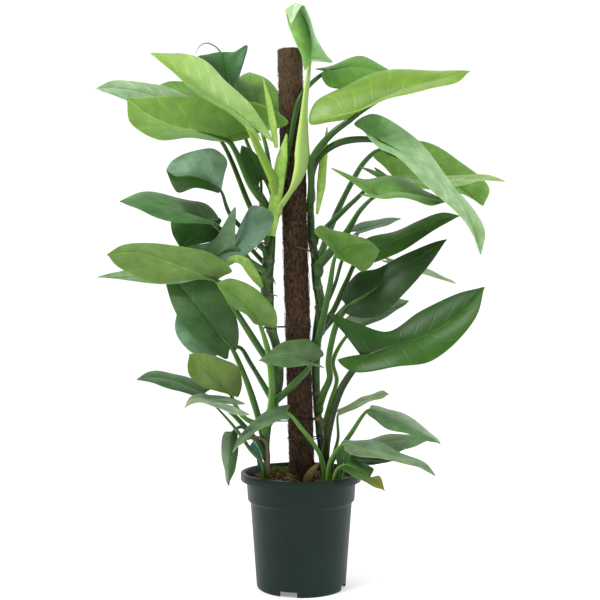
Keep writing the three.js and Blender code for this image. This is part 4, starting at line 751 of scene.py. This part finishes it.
def blade_sheet(leaf, spine, rims, face, seed):
    """A blade as a thin sheet, with the values that its material reads."""
    sheet = Build()
    known = {}
    halves = [linear(code) for code in leaf["tint"]]
    # The colours at the ends: painted shade at the heel and painted light at the tip, unless the leaf gives
    # its own
    heels = end_tints(leaf, "heel_tint", halves, HEEL_PAINTED_SHADE)
    tips = end_tints(leaf, "tip_tint", halves, TIP_PAINTED_LIGHT)
    sway = random.Random(seed)
    phase = sway.uniform(0, 6.3)
    wave = sway.uniform(1.1, 2.0)

    def add_point(side, inside, outside, s, climb, place_on):
        width = (outside - inside).length
        vein = place_on * VEINS - s * VEIN_SWEEP * (1 - 0.35 * s) + 0.12 * math.sin(5 * s + phase)
        ripple = abs((vein % 1) - 0.5) * 2
        rise = BULGE * width * 4 * s * (1 - s)
        rise -= MIDRIB_GROOVE * math.exp(-(s * width / 2.2) ** 2)
        rise += VEIN_RIDGE * (0.5 - ripple) * min(1, 4 * s * (1 - s)) * min(1, width / 20)
        rise += wave * s * s * math.sin(place_on * 11 + phase + side) * min(1, width / 30)
        # Each half's colour runs from the heel's to the tip's, with its painted light and shade all along
        tint = [lerp(low, mid, min(1, climb / 0.4 + 0.5 * s)) if climb < 0.4
                else lerp(mid, high, (climb - 0.4) / 0.6)
                for low, mid, high in zip(heels[side], halves[side], tips[side])]
        if s < 0.16:
            tint = [lerp(a, b, 0.5 - 3 * s) for a, b in zip(tint, halves[1 - side])]
        return sheet.point(inside.lerp(outside, s) + face * rise, tint=tint, vein=vein, across=s,
                           reach=s * width, bloom=leaf["bloom"])

    for side, rim in enumerate(rims):
        rows = []
        for i in range(ROWS + 1):
            step = i * RIM_SPANS / ROWS
            climb = max(0.0, step - SHOULDER) / (RIM_SPANS - SHOULDER)
            inside = spine.at(lerp(FAN_CENTRE, 1, climb))
            outside = rim.at(step / RIM_SPANS)
            place_on = climb if step > SHOULDER else (step - SHOULDER) / SHOULDER * 0.4
            row = []
            for s in COLUMNS:
                if i == ROWS:
                    key = "tip"
                elif i == 0:
                    key = ("both", 0, s)
                elif s == 0:
                    key = ("both", max(i, ROWS * SHOULDER // RIM_SPANS), 0)
                else:
                    key = (side, i, s)
                if key not in known:
                    known[key] = add_point(side, inside, outside, s, climb, place_on)
                row.append(known[key])
            rows.append(row)
        for one, two in zip(rows, rows[1:]):
            for j in range(len(COLUMNS) - 1):
                corners = [one[j], one[j + 1], two[j + 1], two[j]]
                sheet.face(corners if side == 0 else corners[::-1])
    return sheet


def thicken(built, sheet, face):
    """The upper and under face of a blade on either side of its sheet, its keel and its rim."""
    flat_mesh = bpy.data.meshes.new("flat")
    flat_mesh.from_pydata(sheet.points, [], sheet.faces)
    flat_mesh.update()
    normals = [Vector(v.vector) for v in flat_mesh.vertex_normals]
    mean = sum((Vector(f.normal) for f in flat_mesh.polygons), Vector())
    turn = 1 if mean.dot(face) > 0 else -1
    bpy.data.meshes.remove(flat_mesh)
    base = len(built.points)
    count = len(sheet.points)
    for under, sign in ((False, 1), (True, -1)):
        for i, where in enumerate(sheet.points):
            keel = KEEL * math.exp(-(sheet.values["reach"][i] / 1.3) ** 2) if under else 0
            built.point(where + normals[i] * turn * sign * (BLADE_HALF + keel),
                        **{key: found[i] for key, found in sheet.values.items()})
    edges = {}
    for corners in sheet.faces:
        built.face([base + c for c in corners], 0)
        built.face([base + count + c for c in corners[::-1]], 1)
        for a, b in zip(corners, corners[1:] + corners[:1]):
            edges[(a, b)] = True
    for a, b in edges:
        if (b, a) not in edges:
            built.face([base + a, base + count + a, base + count + b, base + b], 0)


# What bears the leaves: a stem, or the sheath at its end
HOSTS = {
    "stem_left": STEM_LEFT,
    "stem_right": STEM_RIGHT,
    "sheath_left": dict(run=WRAPS[0][1], radii=WRAPS[0][2]),
}


def level_with(bearer, height):
    """The middle of a stem or sheath at a height, and its radius there."""
    steps = Curve([seen(p) for p in bearer["run"]]).even(100)
    i = min(range(101), key=lambda k: abs(steps[k][0].z - height))
    return Vector((steps[i][0].x, steps[i][0].y, height)), along(bearer["radii"], i / 100)


# Factors on a colour: over the veins and the rim, where wax lies, and for the painted highlight
# down one side of a stalk
PALER = (1.9, 1.65, 1.5, 1.0)
WAXED = (1.38, 1.3, 1.5, 1.0)
STALK_PAINTED_HIGHLIGHT = (2.4, 2.2, 1.7, 1.0)
# A Mix node that multiplies a colour by such factors
TINTING = dict(MIXING, blend_type="MULTIPLY")


def leaf_skin(name, under):
    """Waxy leaf skin: paler side veins, fine veins between them and soft mottling 20 mm across.

    The silver wax dulls it where it lies; the underside is paler and matt all over."""
    made, tree = new_material(name)
    at = node(tree, "TexCoord", out="Object")
    # tint: each leaf's colours, with the painted light and shade of its halves, heel and tip
    tint = node(tree, "Attribute", out="Color", attribute_name="tint")
    bloom = node(tree, "Attribute", out="Fac", attribute_name="bloom")
    vein = node(tree, "Attribute", out="Fac", attribute_name="vein")
    across = node(tree, "Attribute", out="Fac", attribute_name="across")
    reach = node(tree, "Attribute", out="Fac", attribute_name="reach")
    main = node(tree, "Math", {0: vein, 1: 0.5}, operation="PINGPONG")
    main = node(tree, "MapRange", {"Value": main, "From Max": 0.09, "To Min": 1.0, "To Max": 0.0})
    fine = node(tree, "Math", {0: vein, 1: 0.125}, operation="PINGPONG")
    fine = node(tree, "MapRange", {"Value": fine, "From Max": 0.05, "To Min": 1.0, "To Max": 0.0})
    midrib = node(tree, "MapRange", {"Value": reach, "From Min": 0.4, "From Max": 1.5,
                                     "To Min": 1.0, "To Max": 0.0})
    edge = node(tree, "MapRange", {"Value": across, "From Min": 0.965, "From Max": 0.995})
    mottle = node(tree, "TexNoise", {"Vector": at, "Scale": 48.0, "Detail": 3.0})
    mottle = node(tree, "MapRange", {"Value": mottle, "From Min": 0.32, "From Max": 0.68})
    cells = node(tree, "TexNoise", {"Vector": at, "Scale": 700.0, "Detail": 3.0})
    if under:
        tint = node(tree, "Mix", {0: 0.06, 6: tint, 7: linear("9FB98A")}, **MIXING)
    deep = node(tree, "Mix", {0: 1.0, 6: tint, 7: linear("E2E8DE")}, **TINTING)
    light = node(tree, "Mix", {0: bloom, 6: tint, 7: WAXED}, **TINTING)
    shade = node(tree, "Mix", {0: mottle, 6: deep, 7: light}, **MIXING)
    patchy = node(tree, "Math", {0: mottle, 1: main}, operation="MULTIPLY")
    paler = node(tree, "Math", {0: patchy, 1: 0.5}, operation="MULTIPLY")
    shade = node(tree, "Mix", {0: paler, 6: shade, 7: PALER}, **TINTING)
    darker = node(tree, "Math", {0: fine, 1: 0.05}, operation="MULTIPLY")
    shade = node(tree, "Mix", {0: darker, 6: shade, 7: linear("1E3A16")}, **MIXING)
    ribbed = node(tree, "Math", {0: midrib, 1: 0.7}, operation="MULTIPLY")
    shade = node(tree, "Mix", {0: ribbed, 6: shade, 7: PALER}, **TINTING)
    rimmed = node(tree, "Math", {0: edge, 1: 0.6}, operation="MULTIPLY")
    shade = node(tree, "Mix", {0: rimmed, 6: shade, 7: PALER}, **TINTING)
    polish = node(tree, "MapRange", {"Value": bloom, "To Min": 0.52 if under else 0.39,
                                     "To Max": 0.62 if under else 0.54})
    raised = node(tree, "Math", {0: main, 1: -0.6}, operation="MULTIPLY")
    raised = node(tree, "Math", {0: fine, 1: -0.25, 2: raised}, operation="MULTIPLY_ADD")
    raised = node(tree, "Math", {0: cells, 1: 0.35, 2: raised}, operation="MULTIPLY_ADD")
    relief = node(tree, "Bump", {"Height": raised, "Strength": 0.4,
                                 "Distance": -0.0005 if under else 0.0005})
    node(tree, "OutputMaterial", {"Surface": node(tree, "BsdfPrincipled", {
        "Base Color": shade, "Roughness": polish, "IOR": 1.45, "Specular IOR Level": 0.33,
        "Normal": relief})})
    return made


upper_skin = leaf_skin("waxy_leaf_upper", False)
under_skin = leaf_skin("matt_leaf_under", True)

# Stalk skin: firm and half glossy, in each stalk's own green, with paler streaks about 3 mm wide
# and a painted highlight down one side
stalk_skin, tree = new_material("leaf_stalk_skin")
at = node(tree, "TexCoord", out="Object")
tint = node(tree, "Attribute", out="Color", attribute_name="tint")
# The painted highlight down one side of the stalk
painted_highlight = node(tree, "Attribute", out="Fac", attribute_name="across")
streak = node(tree, "TexNoise", {"Vector": at, "Scale": 320.0, "Detail": 4.0})
spread = node(tree, "MapRange", {"Value": streak, "From Min": 0.35, "From Max": 0.7,
                                 "To Max": 0.06})
shade = node(tree, "Mix", {0: spread, 6: tint, 7: linear("A4C474")}, **MIXING)
shade = node(tree, "Mix", {0: painted_highlight, 6: shade, 7: STALK_PAINTED_HIGHLIGHT}, **TINTING)
relief = node(tree, "Bump", {"Height": streak, "Strength": 0.2, "Distance": 0.0003})
node(tree, "OutputMaterial", {"Surface": node(tree, "BsdfPrincipled", {
    "Base Color": shade, "Roughness": 0.3, "IOR": 1.45, "Specular IOR Level": 0.32,
    "Normal": relief})})

leaf_slots = {entry["node"]: entry["material_slot"] for entry in frame["record"]["subparts"]}
for seed, leaf in enumerate(LEAVES):
    spine, rims, face = leaf_form(leaf)
    built = Build()
    thicken(built, blade_sheet(leaf, spine, rims, face, seed), face)
    foot = seen(leaf["run"][0])
    grip, last = leaf["stalk"][0], leaf["stalk"][-1]
    if "on" in leaf:
        centre, bearing = level_with(HOSTS[leaf["on"]], foot.z)
        foot = centre + (foot - centre).normalized() * (bearing * 0.8 + grip * 0.35)
    run = [foot, *[seen(p) for p in leaf["run"][1:]], spine.at(0) - face * 0.6 * last,
           spine.at(0.1) - face * 0.5, spine.at(0.3) - face * 0.2]
    radii = [grip * 1.15, *leaf["stalk"], last * 0.7, 0.9]
    own = linear(leaf["stem"])

    def stalk_tag(share, angle, where):
        # across on a stalk marks the painted highlight down one side of it
        return {"tint": own, "across": max(0, math.cos(angle + 0.5)) ** 6}

    built.tube(run, radii, sides=14, rings=60, flat=leaf.get("flat", 1.0), slot=2, tag=stalk_tag)
    if "on" in leaf:
        # The clasping foot, run down into what bears the leaf
        inward = (centre - foot).normalized()
        toe = foot + inward * grip * 0.7 + Vector((0, 0, -3.6 * grip))
        built.tube([toe, (toe + foot) / 2 - inward * grip * 0.25, foot, foot.lerp(run[1], 0.1)],
                   [grip * 0.3, grip * 0.85, grip * 1.15, grip * 1.12, grip],
                   sides=14, rings=14, slot=2, tag=stalk_tag)
    if "tail" in leaf:
        built.tube([spine.at(0.9), *[seen(p) for p in leaf["tail"]]], [1.6, 1.3, 0.9, 0.4],
                   sides=8, rings=24, slot=2, tag=stalk_tag)
    built.piece(leaf["name"] + "_grown", [upper_skin, under_skin, stalk_skin],
                leaf_slots[leaf["name"]], leaf["name"])


# Coir pole: a wooden core wound with coarse brown coconut fibre to 40 mm, bushy and pitted.
# It stands in the pot from 44 mm up and leans a little to the left; loose fibres stand off it.
POLE_FOOT = Vector((5, 0, 44))
POLE_TOP = Vector((-18, 0, 844))
POLE_RADIUS = 20
POLE_SIDES = 72
POLE_RINGS = 230
HUMPS = 420
LOOSE_FIBRES = 2600

# Wound coconut fibre: dark, dry and dull; strands drawn 4 mm wide, where real ones are 0.3 mm,
# with dents 7 mm apart and darkened in their middles with painted shade, clumps 18 mm wide, and
# paler towards the top
coir, tree = new_material("wound_coir")
at = node(tree, "TexCoord", out="Object")
long_way = node(tree, "Mapping", {"Vector": at, "Scale": (1.0, 1.0, 0.45)})
fibres = node(tree, "TexNoise", {"Vector": long_way, "Scale": 270.0, "Detail": 6.0,
                                 "Roughness": 0.75})
clumps = node(tree, "TexNoise", {"Vector": at, "Scale": 55.0, "Detail": 4.0})
dents = node(tree, "TexVoronoi", {"Vector": at, "Scale": 150.0}, feature="F1")
tall = node(tree, "SeparateXYZ", {"Vector": at}, out="Z")
strands = node(tree, "MapRange", {"Value": fibres, "From Min": 0.42, "From Max": 0.62})
shade = node(tree, "Mix", {0: strands, 6: linear("150E0A"), 7: linear("5C4430")}, **MIXING)
clumped = node(tree, "MapRange", {"Value": clumps, "From Min": 0.35, "From Max": 0.7,
                                  "To Max": 0.35})
shade = node(tree, "Mix", {0: clumped, 6: shade, 7: linear("33241B")}, **MIXING)
# Paler towards the top
paler_top = node(tree, "MapRange", {"Value": tall, "From Min": 0.68, "From Max": 0.85, "To Max": 0.26})
shade = node(tree, "Mix", {0: paler_top, 6: shade, 7: linear("86725A")}, **MIXING)
dented = node(tree, "MapRange", {"Value": dents, "From Max": 0.5, "To Max": 0.6})
# Painted shade in the middle of each dent
pit_painted_shade = node(tree, "MapRange", {"Value": dents, "From Min": 0.05, "From Max": 0.24, "To Min": 0.85,
                              "To Max": 0.0})
shade = node(tree, "Mix", {0: pit_painted_shade, 6: shade, 7: linear("120C09")}, **MIXING)
raised = node(tree, "Math", {0: fibres, 1: dented}, operation="ADD")
relief = node(tree, "Bump", {"Height": raised, "Strength": 0.9, "Distance": 0.002})
node(tree, "OutputMaterial", {"Surface": node(tree, "BsdfPrincipled", {
    "Base Color": shade, "Roughness": 0.93, "Specular IOR Level": 0.2, "Normal": relief})})

# Single loose fibres: the same husk, in browns that change every 17 mm
loose_fibre, tree = new_material("loose_coir_fibre")
at = node(tree, "TexCoord", out="Object")
patch = node(tree, "TexNoise", {"Vector": at, "Scale": 60.0, "Detail": 3.0})
patch = node(tree, "MapRange", {"Value": patch, "From Min": 0.35, "From Max": 0.65})
shade = node(tree, "Mix", {0: patch, 6: linear("32241A"), 7: linear("7A6248")}, **MIXING)
node(tree, "OutputMaterial", {"Surface": node(tree, "BsdfPrincipled", {
    "Base Color": shade, "Roughness": 0.85, "Specular IOR Level": 0.3})})

chance = random.Random(11)
lean = (POLE_TOP - POLE_FOOT).normalized()
POLE_SIDE = lean.cross(Vector((0, 1, 0))).normalized()
POLE_DEEP = POLE_SIDE.cross(lean).normalized()
pole_long = (POLE_TOP - POLE_FOOT).length
# Humps: where each lies round the pole and up it, how wide it is and how high
humps = [(chance.uniform(0, 6.28), chance.uniform(0, pole_long), chance.uniform(6, 16),
          chance.uniform(-1.3, 0.9)) for _ in range(HUMPS)]


def on_pole(turn, high, out):
    """A place at a turn round the pole, a height up it and a distance from its middle."""
    return POLE_FOOT + lean * high + (POLE_SIDE * math.cos(turn) + POLE_DEEP * math.sin(turn)) * out


def pole_swell(turn, high):
    """How far the humps lift or sink the wound fibre at a place."""
    lift = 0.0
    for spot, level, wide, tall_by in humps:
        if abs(high - level) < 2 * wide:
            off = (turn - spot + math.pi) % (2 * math.pi) - math.pi
            away = (off * POLE_RADIUS) ** 2 + (high - level) ** 2
            lift += tall_by * math.exp(-away / wide ** 2 * 2)
    return lift


built = Build()
levels = [0, 1.2, *[2 + (pole_long - 4) * i / POLE_RINGS for i in range(POLE_RINGS + 1)],
          pole_long - 0.8, pole_long]
rows = []
for high in levels:
    drawn = 1.6 if high in (0, pole_long) else 0.0
    row = []
    for j in range(POLE_SIDES):
        turn = j / POLE_SIDES * 2 * math.pi
        lift = max(-1.8, min(0.9, pole_swell(turn, high)))
        radius = POLE_RADIUS - 0.5 - drawn + lift + chance.uniform(-0.28, 0.28)
        row.append(built.point(on_pole(turn, high, radius)))
    rows.append(row)
built.skin(rows)
built.face(rows[0])
top = built.point(POLE_TOP + lean * 0.2)
for j in range(POLE_SIDES):
    built.face([rows[-1][j], rows[-1][j - 1], top])
for i in range(LOOSE_FIBRES):
    turn = chance.uniform(0, 2 * math.pi)
    high = chance.uniform(128, pole_long)
    slant = chance.uniform(-0.9, 0.9)
    long = chance.uniform(5, 22)
    bow = chance.uniform(0.6, 2.4)
    points = []
    for step in (0, 1 / 3, 2 / 3, 1):
        points.append(on_pole(turn + slant * long * step / POLE_RADIUS,
                              min(high + long * step * (1 - abs(slant) * 0.5), pole_long),
                              POLE_RADIUS - 0.6 + bow * math.sin(step * math.pi) * 0.9))
    if (points[0] - points[-1]).length > 2:
        built.tube(points, [0.22, 0.2, 0.12], sides=3, rings=4, slot=1)
built.piece("coir_pole_wound", [coir, loose_fibre], "coir_fibre", "coir_pole")


# Nursery pot: thin dark green moulded plastic, satin, with a thick lip, a band and a notched foot.
# Moulded in one piece with drain holes; faint pale streaks and dust, its marks left blank.
RIM = 95
HIGH = 180
POT_SIDES = 180
NOTCHES = 4
NOTCH = (0.028, 0.020, 0.017)
NOTCH_TURN = -0.29
DRAINS = 8
DRAIN_RADIUS = 0.004
DRAIN_RING = 0.044
# Radius and height from the middle of the underside, up the outside and down the inside
POT_PROFILE = [
    (0, 0), (14, 0), (15.5, 9), (RIM - 29.5, 9), (RIM - 29, 0.4), (RIM - 28.6, 0),
    (RIM - 26.9, 0), (RIM - 26.3, 0.5), (RIM - 25, 2.5), (RIM - 24.5, 9),
    (RIM - 15.2, HIGH - 48), (RIM - 14.6, HIGH - 46.4), (RIM - 11.4, HIGH - 43.4),
    (RIM - 10.9, HIGH - 42), (RIM - 9.1, HIGH - 15), (RIM - 8.6, HIGH - 14),
    (RIM - 7.8, HIGH - 13.6), (RIM - 1.8, HIGH - 13), (RIM - 0.5, HIGH - 12.4),
    (RIM, HIGH - 11), (RIM, HIGH - 1.7), (RIM - 0.5, HIGH - 0.5), (RIM - 1.7, HIGH),
    (RIM - 5.2, HIGH), (RIM - 6.2, HIGH - 0.4), (RIM - 6.6, HIGH - 1.6),
    (RIM - 10.8, HIGH - 15), (RIM - 12.8, HIGH - 43), (RIM - 17, HIGH - 47), (RIM - 27, 13.5),
    (RIM - 29, 11.5), (0, 11.5),
]
# Moulded polypropylene: satin dark green, clouded with dust 110 mm wide, with paler, rougher streaks
# 17 mm wide drawn out to 110 mm along its height, and a skin of moulding grain 0.7 mm fine
pot_plastic, tree = new_material("satin_green_polypropylene")
at = node(tree, "TexCoord", out="Object")
long_way = node(tree, "Mapping", {"Vector": at, "Scale": (1.0, 1.0, 0.15)})
dust = node(tree, "TexNoise", {"Vector": at, "Scale": 9.0, "Detail": 5.0, "Roughness": 0.6})
pale_streaks = node(tree, "TexNoise", {"Vector": long_way, "Scale": 60.0, "Detail": 6.0, "Roughness": 0.75})
grain = node(tree, "TexNoise", {"Vector": at, "Scale": 1500.0, "Detail": 2.0})
dusty = node(tree, "MapRange", {"Value": dust, "From Min": 0.35, "From Max": 0.7})
shade = node(tree, "Mix", {0: dusty, 6: linear("0F1F19"), 7: linear("152922")}, **MIXING)
# Paler streaks drawn out along the height
streaked = node(tree, "MapRange", {"Value": pale_streaks, "From Min": 0.6, "From Max": 0.8, "To Max": 0.2})
shade = node(tree, "Mix", {0: streaked, 6: shade, 7: linear("3C4B44")}, **MIXING)
polish = node(tree, "MapRange", {"Value": pale_streaks, "From Min": 0.3, "From Max": 0.8, "To Min": 0.34,
                                 "To Max": 0.55})
relief = node(tree, "Bump", {"Height": grain, "Strength": 0.12, "Distance": 0.0002})
node(tree, "OutputMaterial", {"Surface": node(tree, "BsdfPrincipled", {
    "Base Color": shade, "Roughness": polish, "IOR": 1.49, "Specular IOR Level": 0.18,
    "Normal": relief})})


def about(radius, turn):
    """x and y at a distance from the upright axis and a turn round it."""
    return radius * math.cos(turn), radius * math.sin(turn)


built = Build()
rows = []
for radius, high in POT_PROFILE:
    if radius == 0:
        rows.append([built.point(Vector((0, 0, high)))] * POT_SIDES)
    else:
        rows.append([built.point(Vector((*about(radius, 2 * math.pi * j / POT_SIDES), high)))
                     for j in range(POT_SIDES)])
built.skin(rows, back=True)
pot = built.piece("nursery_pot_moulded", [pot_plastic], "pot_plastic", "nursery_pot")


def cut_from(target, cutters):
    """Cuts solids from a piece and applies the cut."""
    bpy.context.view_layer.update()
    for cutter in cutters:
        cut = target.modifiers.new("cut", "BOOLEAN")
        cut.operation = "DIFFERENCE"
        cut.object = cutter
    evaluated = target.evaluated_get(bpy.context.evaluated_depsgraph_get())
    ready = bpy.data.meshes.new_from_object(evaluated)
    target.modifiers.clear()
    target.data = ready
    for cutter in cutters:
        bpy.data.objects.remove(cutter)


def cutter_of(name, solid):
    """An object that cuts, from a solid still being built."""
    mesh = bpy.data.meshes.new(name)
    solid.to_mesh(mesh)
    solid.free()
    return placed(name, mesh)


cutters = []
for i in range(NOTCHES):
    turn = NOTCH_TURN + i * math.pi / 2
    solid = bmesh.new()
    bmesh.ops.create_cube(solid, size=1)
    for v in solid.verts:
        x, y, z = v.co.x * NOTCH[0], v.co.y * NOTCH[1] - (RIM - 27) * MILLIMETRE, v.co.z * NOTCH[2]
        v.co = (x * math.cos(turn) - y * math.sin(turn), x * math.sin(turn) + y * math.cos(turn), z)
    cutters.append(cutter_of(f"notch_{i}", solid))
for i in range(DRAINS):
    turn = (i + 0.5) / DRAINS * 2 * math.pi
    solid = bmesh.new()
    bmesh.ops.create_cone(solid, cap_ends=True, segments=20, radius1=DRAIN_RADIUS,
                          radius2=DRAIN_RADIUS, depth=0.02)
    bmesh.ops.translate(solid, verts=solid.verts, vec=(*about(DRAIN_RING, turn), 0.0115))
    cutters.append(cutter_of(f"drain_{i}", solid))
cut_from(pot, cutters)
for face in pot.data.polygons:
    face.use_smooth = True
with bpy.context.temp_override(object=pot, active_object=pot, selected_objects=[pot],
                               selected_editable_objects=[pot]):
    bpy.ops.object.shade_smooth_by_angle(angle=math.radians(35))


# Potting soil: damp brown peat and bark crumbs with tan fibres and bits of green moss.
# It fills the pot to 14 mm under the lip and is heaped up to the lip at the left of the pole.
SOIL_LEVEL = 166
LUMP_HIGH = 1.6
HEAP_HIGH = 14
HEAP_WIDE = 21
HEAP_AT = (-30, 8)
SOIL_SIDES = 120
SOIL_WALL = [(65.6, 11.9), (67.6, 13.9), (77.6, 133.4), (81.8, 137.4), (83.8, 165.4)]
SOIL_REACH = 83.6
SOIL_RINGS = 28
CRUMBS = 2300
STRAWS = 520
SPRIGS = 300
MOSS_AT = (-37, 24)
BARK, STRAW, MOSS = 1, 2, 3


def crumbly(name, dark, light, size, detail, dullness):
    """Matt plant matter: two tones that change every size millimetres, rough to the eye."""
    made, tree = new_material(name)
    at = node(tree, "TexCoord", out="Object")
    spots = node(tree, "TexNoise", {"Vector": at, "Scale": 1000 / size, "Detail": detail,
                                    "Roughness": 0.65})
    spread = node(tree, "MapRange", {"Value": spots, "From Min": 0.35, "From Max": 0.66})
    shade = node(tree, "Mix", {0: spread, 6: linear(dark), 7: linear(light)}, **MIXING)
    relief = node(tree, "Bump", {"Height": spots, "Strength": 0.8, "Distance": 0.0012})
    node(tree, "OutputMaterial", {"Surface": node(tree, "BsdfPrincipled", {
        "Base Color": shade, "Roughness": dullness, "Specular IOR Level": 0.25, "Normal": relief})})
    return made


peat = crumbly("damp_peat", "1E1510", "5C4432", 4, 6.0, 0.95)
bark = crumbly("bark_crumbs", "32241A", "7A5E42", 5.5, 4.0, 0.9)
straw = crumbly("tan_root_fibres", "7A5E38", "BC9A64", 5.5, 4.0, 0.85)
moss = crumbly("green_moss", "34461A", "7E9238", 4, 4.0, 0.9)


def soil_top(x, y):
    """Height of the soil: lumps about 50 mm apart, and a heap at the left of the pole."""
    lumps = (math.sin(x / 9) * math.cos(y / 7.5)
             + 0.7 * math.sin((x + y) / 5.2 + 1) * math.cos((x - y) / 6))
    off = math.hypot(x - HEAP_AT[0], y - HEAP_AT[1]) / HEAP_WIDE
    return SOIL_LEVEL + LUMP_HIGH * lumps + HEAP_HIGH * math.exp(-off * off / 2)


def anywhere(reach):
    """A random place on the soil, as x and y, within reach of the pot's axis."""
    radius = reach * math.sqrt(chance.random())
    return about(radius, chance.uniform(0, 2 * math.pi))


def crumb(centre, size, slot):
    """A rough six-sided lump."""
    ring = []
    for k in range(6):
        x = math.cos(k * math.pi / 3) * chance.uniform(0.7, 1.1)
        y = math.sin(k * math.pi / 3) * chance.uniform(0.7, 1.1)
        ring.append(built.point(centre + size * Vector((x, y, chance.uniform(-0.3, 0.3)))))
    up = built.point(centre + Vector((0, 0, size * 0.7)))
    down = built.point(centre - Vector((0, 0, size * 0.7)))
    for k in range(6):
        built.face([ring[k - 1], ring[k], up], slot)
        built.face([ring[k], ring[k - 1], down], slot)


built = Build()
turns = [2 * math.pi * j / SOIL_SIDES for j in range(SOIL_SIDES)]
rows = [[built.point(Vector((0, 0, SOIL_WALL[0][1])))] * SOIL_SIDES]
for radius, high in SOIL_WALL:
    rows.append([built.point(Vector((*about(radius, turn), high))) for turn in turns])
for i in range(SOIL_RINGS):
    row = []
    for turn in turns:
        x, y = about(SOIL_REACH * (1 - i / SOIL_RINGS), turn)
        row.append(built.point(Vector((x, y, soil_top(x, y) + chance.uniform(-0.7, 0.7)))))
    rows.append(row)
rows.append([built.point(Vector((0, 0, soil_top(0, 0))))] * SOIL_SIDES)
built.skin(rows, back=True)
for i in range(CRUMBS):
    x, y = anywhere(83)
    size = min(chance.uniform(0.6, 2.6), 83.9 - math.hypot(x, y))
    where = Vector((x, y, soil_top(x, y) + size * 0.4))
    crumb(where, size, MOSS if chance.random() < 0.05 else BARK)
for i in range(STRAWS):
    x, y = anywhere(78)
    heading = chance.uniform(0, 2 * math.pi)
    long, thick = chance.uniform(5, 20), chance.uniform(0.3, 0.8)
    points = []
    for k in range(4):
        x, y = x + math.cos(heading) * long / 4, y + math.sin(heading) * long / 4
        heading += chance.uniform(-0.4, 0.4)
        if math.hypot(x, y) < 82:
            points.append(Vector((x, y, soil_top(x, y) + 1.4 + 2.6 * chance.random())))
    if len(points) > 2:
        built.tube(points, [thick * 0.6, thick, thick * 0.4], sides=5, rings=6, slot=STRAW)
for i in range(SPRIGS):
    x, y = chance.gauss(MOSS_AT[0], 14), chance.gauss(MOSS_AT[1], 18)
    if math.hypot(x, y) < 76:
        base = Vector((x, y, soil_top(x, y)))
        tip = Vector((chance.uniform(-8, 8), chance.uniform(-6, 6), chance.uniform(1.5, 8)))
        built.tube([base, base + tip * 0.5 + Vector((0, 0, 1.5)), base + tip], [0.7, 0.9, 0.2],
                   sides=5, rings=6, slot=MOSS)
built.piece("potting_soil_mixed", [peat, bark, straw, moss], "soil", "potting_soil")


# Plant label: a thin push-in tag of teal plastic, pale on its back, standing in the soil.
# Cut from printed polypropylene sheet; its face is left plain.
label_plastic, tree = new_material("satin_teal_polypropylene")
at = node(tree, "TexCoord", out="Object")
facing = node(tree, "SeparateXYZ", {"Vector": node(tree, "TexCoord", out="Normal")}, out="Y")
wear = node(tree, "TexNoise", {"Vector": at, "Scale": 120.0, "Detail": 4.0, "Roughness": 0.6})
worn = node(tree, "MapRange", {"Value": wear, "From Min": 0.3, "From Max": 0.75})
shade = node(tree, "Mix", {0: worn, 6: linear("2A686A"), 7: linear("3C8482")}, **MIXING)
back = node(tree, "MapRange", {"Value": facing, "From Min": 0.2, "From Max": 0.5})
shade = node(tree, "Mix", {0: back, 6: shade, 7: linear("A9B89A")}, **MIXING)
relief = node(tree, "Bump", {"Height": wear, "Strength": 0.08, "Distance": 0.0003})
node(tree, "OutputMaterial", {"Surface": node(tree, "BsdfPrincipled", {
    "Base Color": shade, "Roughness": 0.42, "IOR": 1.49, "Normal": relief})})
label = frame["nodes"]["plant_label"]
label.data.materials.clear()
label.data.materials.append(label_plastic)


# Ties: dark coated garden wire drawn round the pole and a stem, its ends twisted together.
# Three loops 2 mm thick, level, at the height of the joints that they hold.
LOOP_STEPS = 96
WIRE_TURNS = (0, 0.785, 1.571, 2.356, 3.142, 3.927, 4.712, 5.498)
# Each tie: its name, its stem, its height and the way that its twisted ends point
TIES = [("tie_left", STEM_LEFT, 262, -0.9), ("tie_right", STEM_RIGHT, 232, -1.2),
        ("tie_upper", STEM_LEFT, 408, -2.4)]
tie_coat, tree = new_material("coated_wire")
at = node(tree, "TexCoord", out="Object")
coat = node(tree, "TexNoise", {"Vector": at, "Scale": 300.0, "Detail": 3.0})
shade = node(tree, "Mix", {0: coat, 6: linear("101812"), 7: linear("243020")}, **MIXING)
relief = node(tree, "Bump", {"Height": coat, "Strength": 0.2, "Distance": 0.0002})
node(tree, "OutputMaterial", {"Surface": node(tree, "BsdfPrincipled", {
    "Base Color": shade, "Roughness": 0.4, "Normal": relief})})


def farthest(posts, out):
    """The middle and the radius of the post that stands out farthest that way."""
    return max(posts, key=lambda post: post[0].dot(out) + post[1])


for name, stem, height, twist in TIES:
    post = POLE_FOOT.lerp(POLE_TOP, (height - POLE_FOOT.z) / (POLE_TOP.z - POLE_FOOT.z))
    posts = [(Vector((post.x, post.y, height)), POLE_RADIUS), level_with(stem, height)]
    built = Build()
    rows = []
    for i in range(LOOP_STEPS):
        out = Vector((*about(1, i / LOOP_STEPS * 2 * math.pi), 0))
        centre, radius = farthest(posts, out)
        rows.append([built.point(centre + out * (radius + 0.9 + math.cos(turn))
                                 + Vector((0, 0, math.sin(turn)))) for turn in WIRE_TURNS])
    built.skin([rows[-1], *rows], back=True)
    out = Vector((*about(1, twist), 0))
    centre, radius = farthest(posts, out)
    start = centre + out * (radius + 1)
    for half in (0, math.pi):
        run = []
        for k in range(15):
            turn = half + k * 1.3
            run.append(start + out * (k * 0.75)
                       + Vector((0, 0, 0.9 * math.sin(turn) - 0.04 * k * k))
                       + out.cross(Vector((0, 0, 1))) * 0.9 * math.cos(turn))
        built.tube(run, [0.7, 0.7, 0.7], sides=6, rings=42)
    built.piece(name + "_wire", [tie_coat], "tie_wire", name)

bpy.context.view_layer.update()
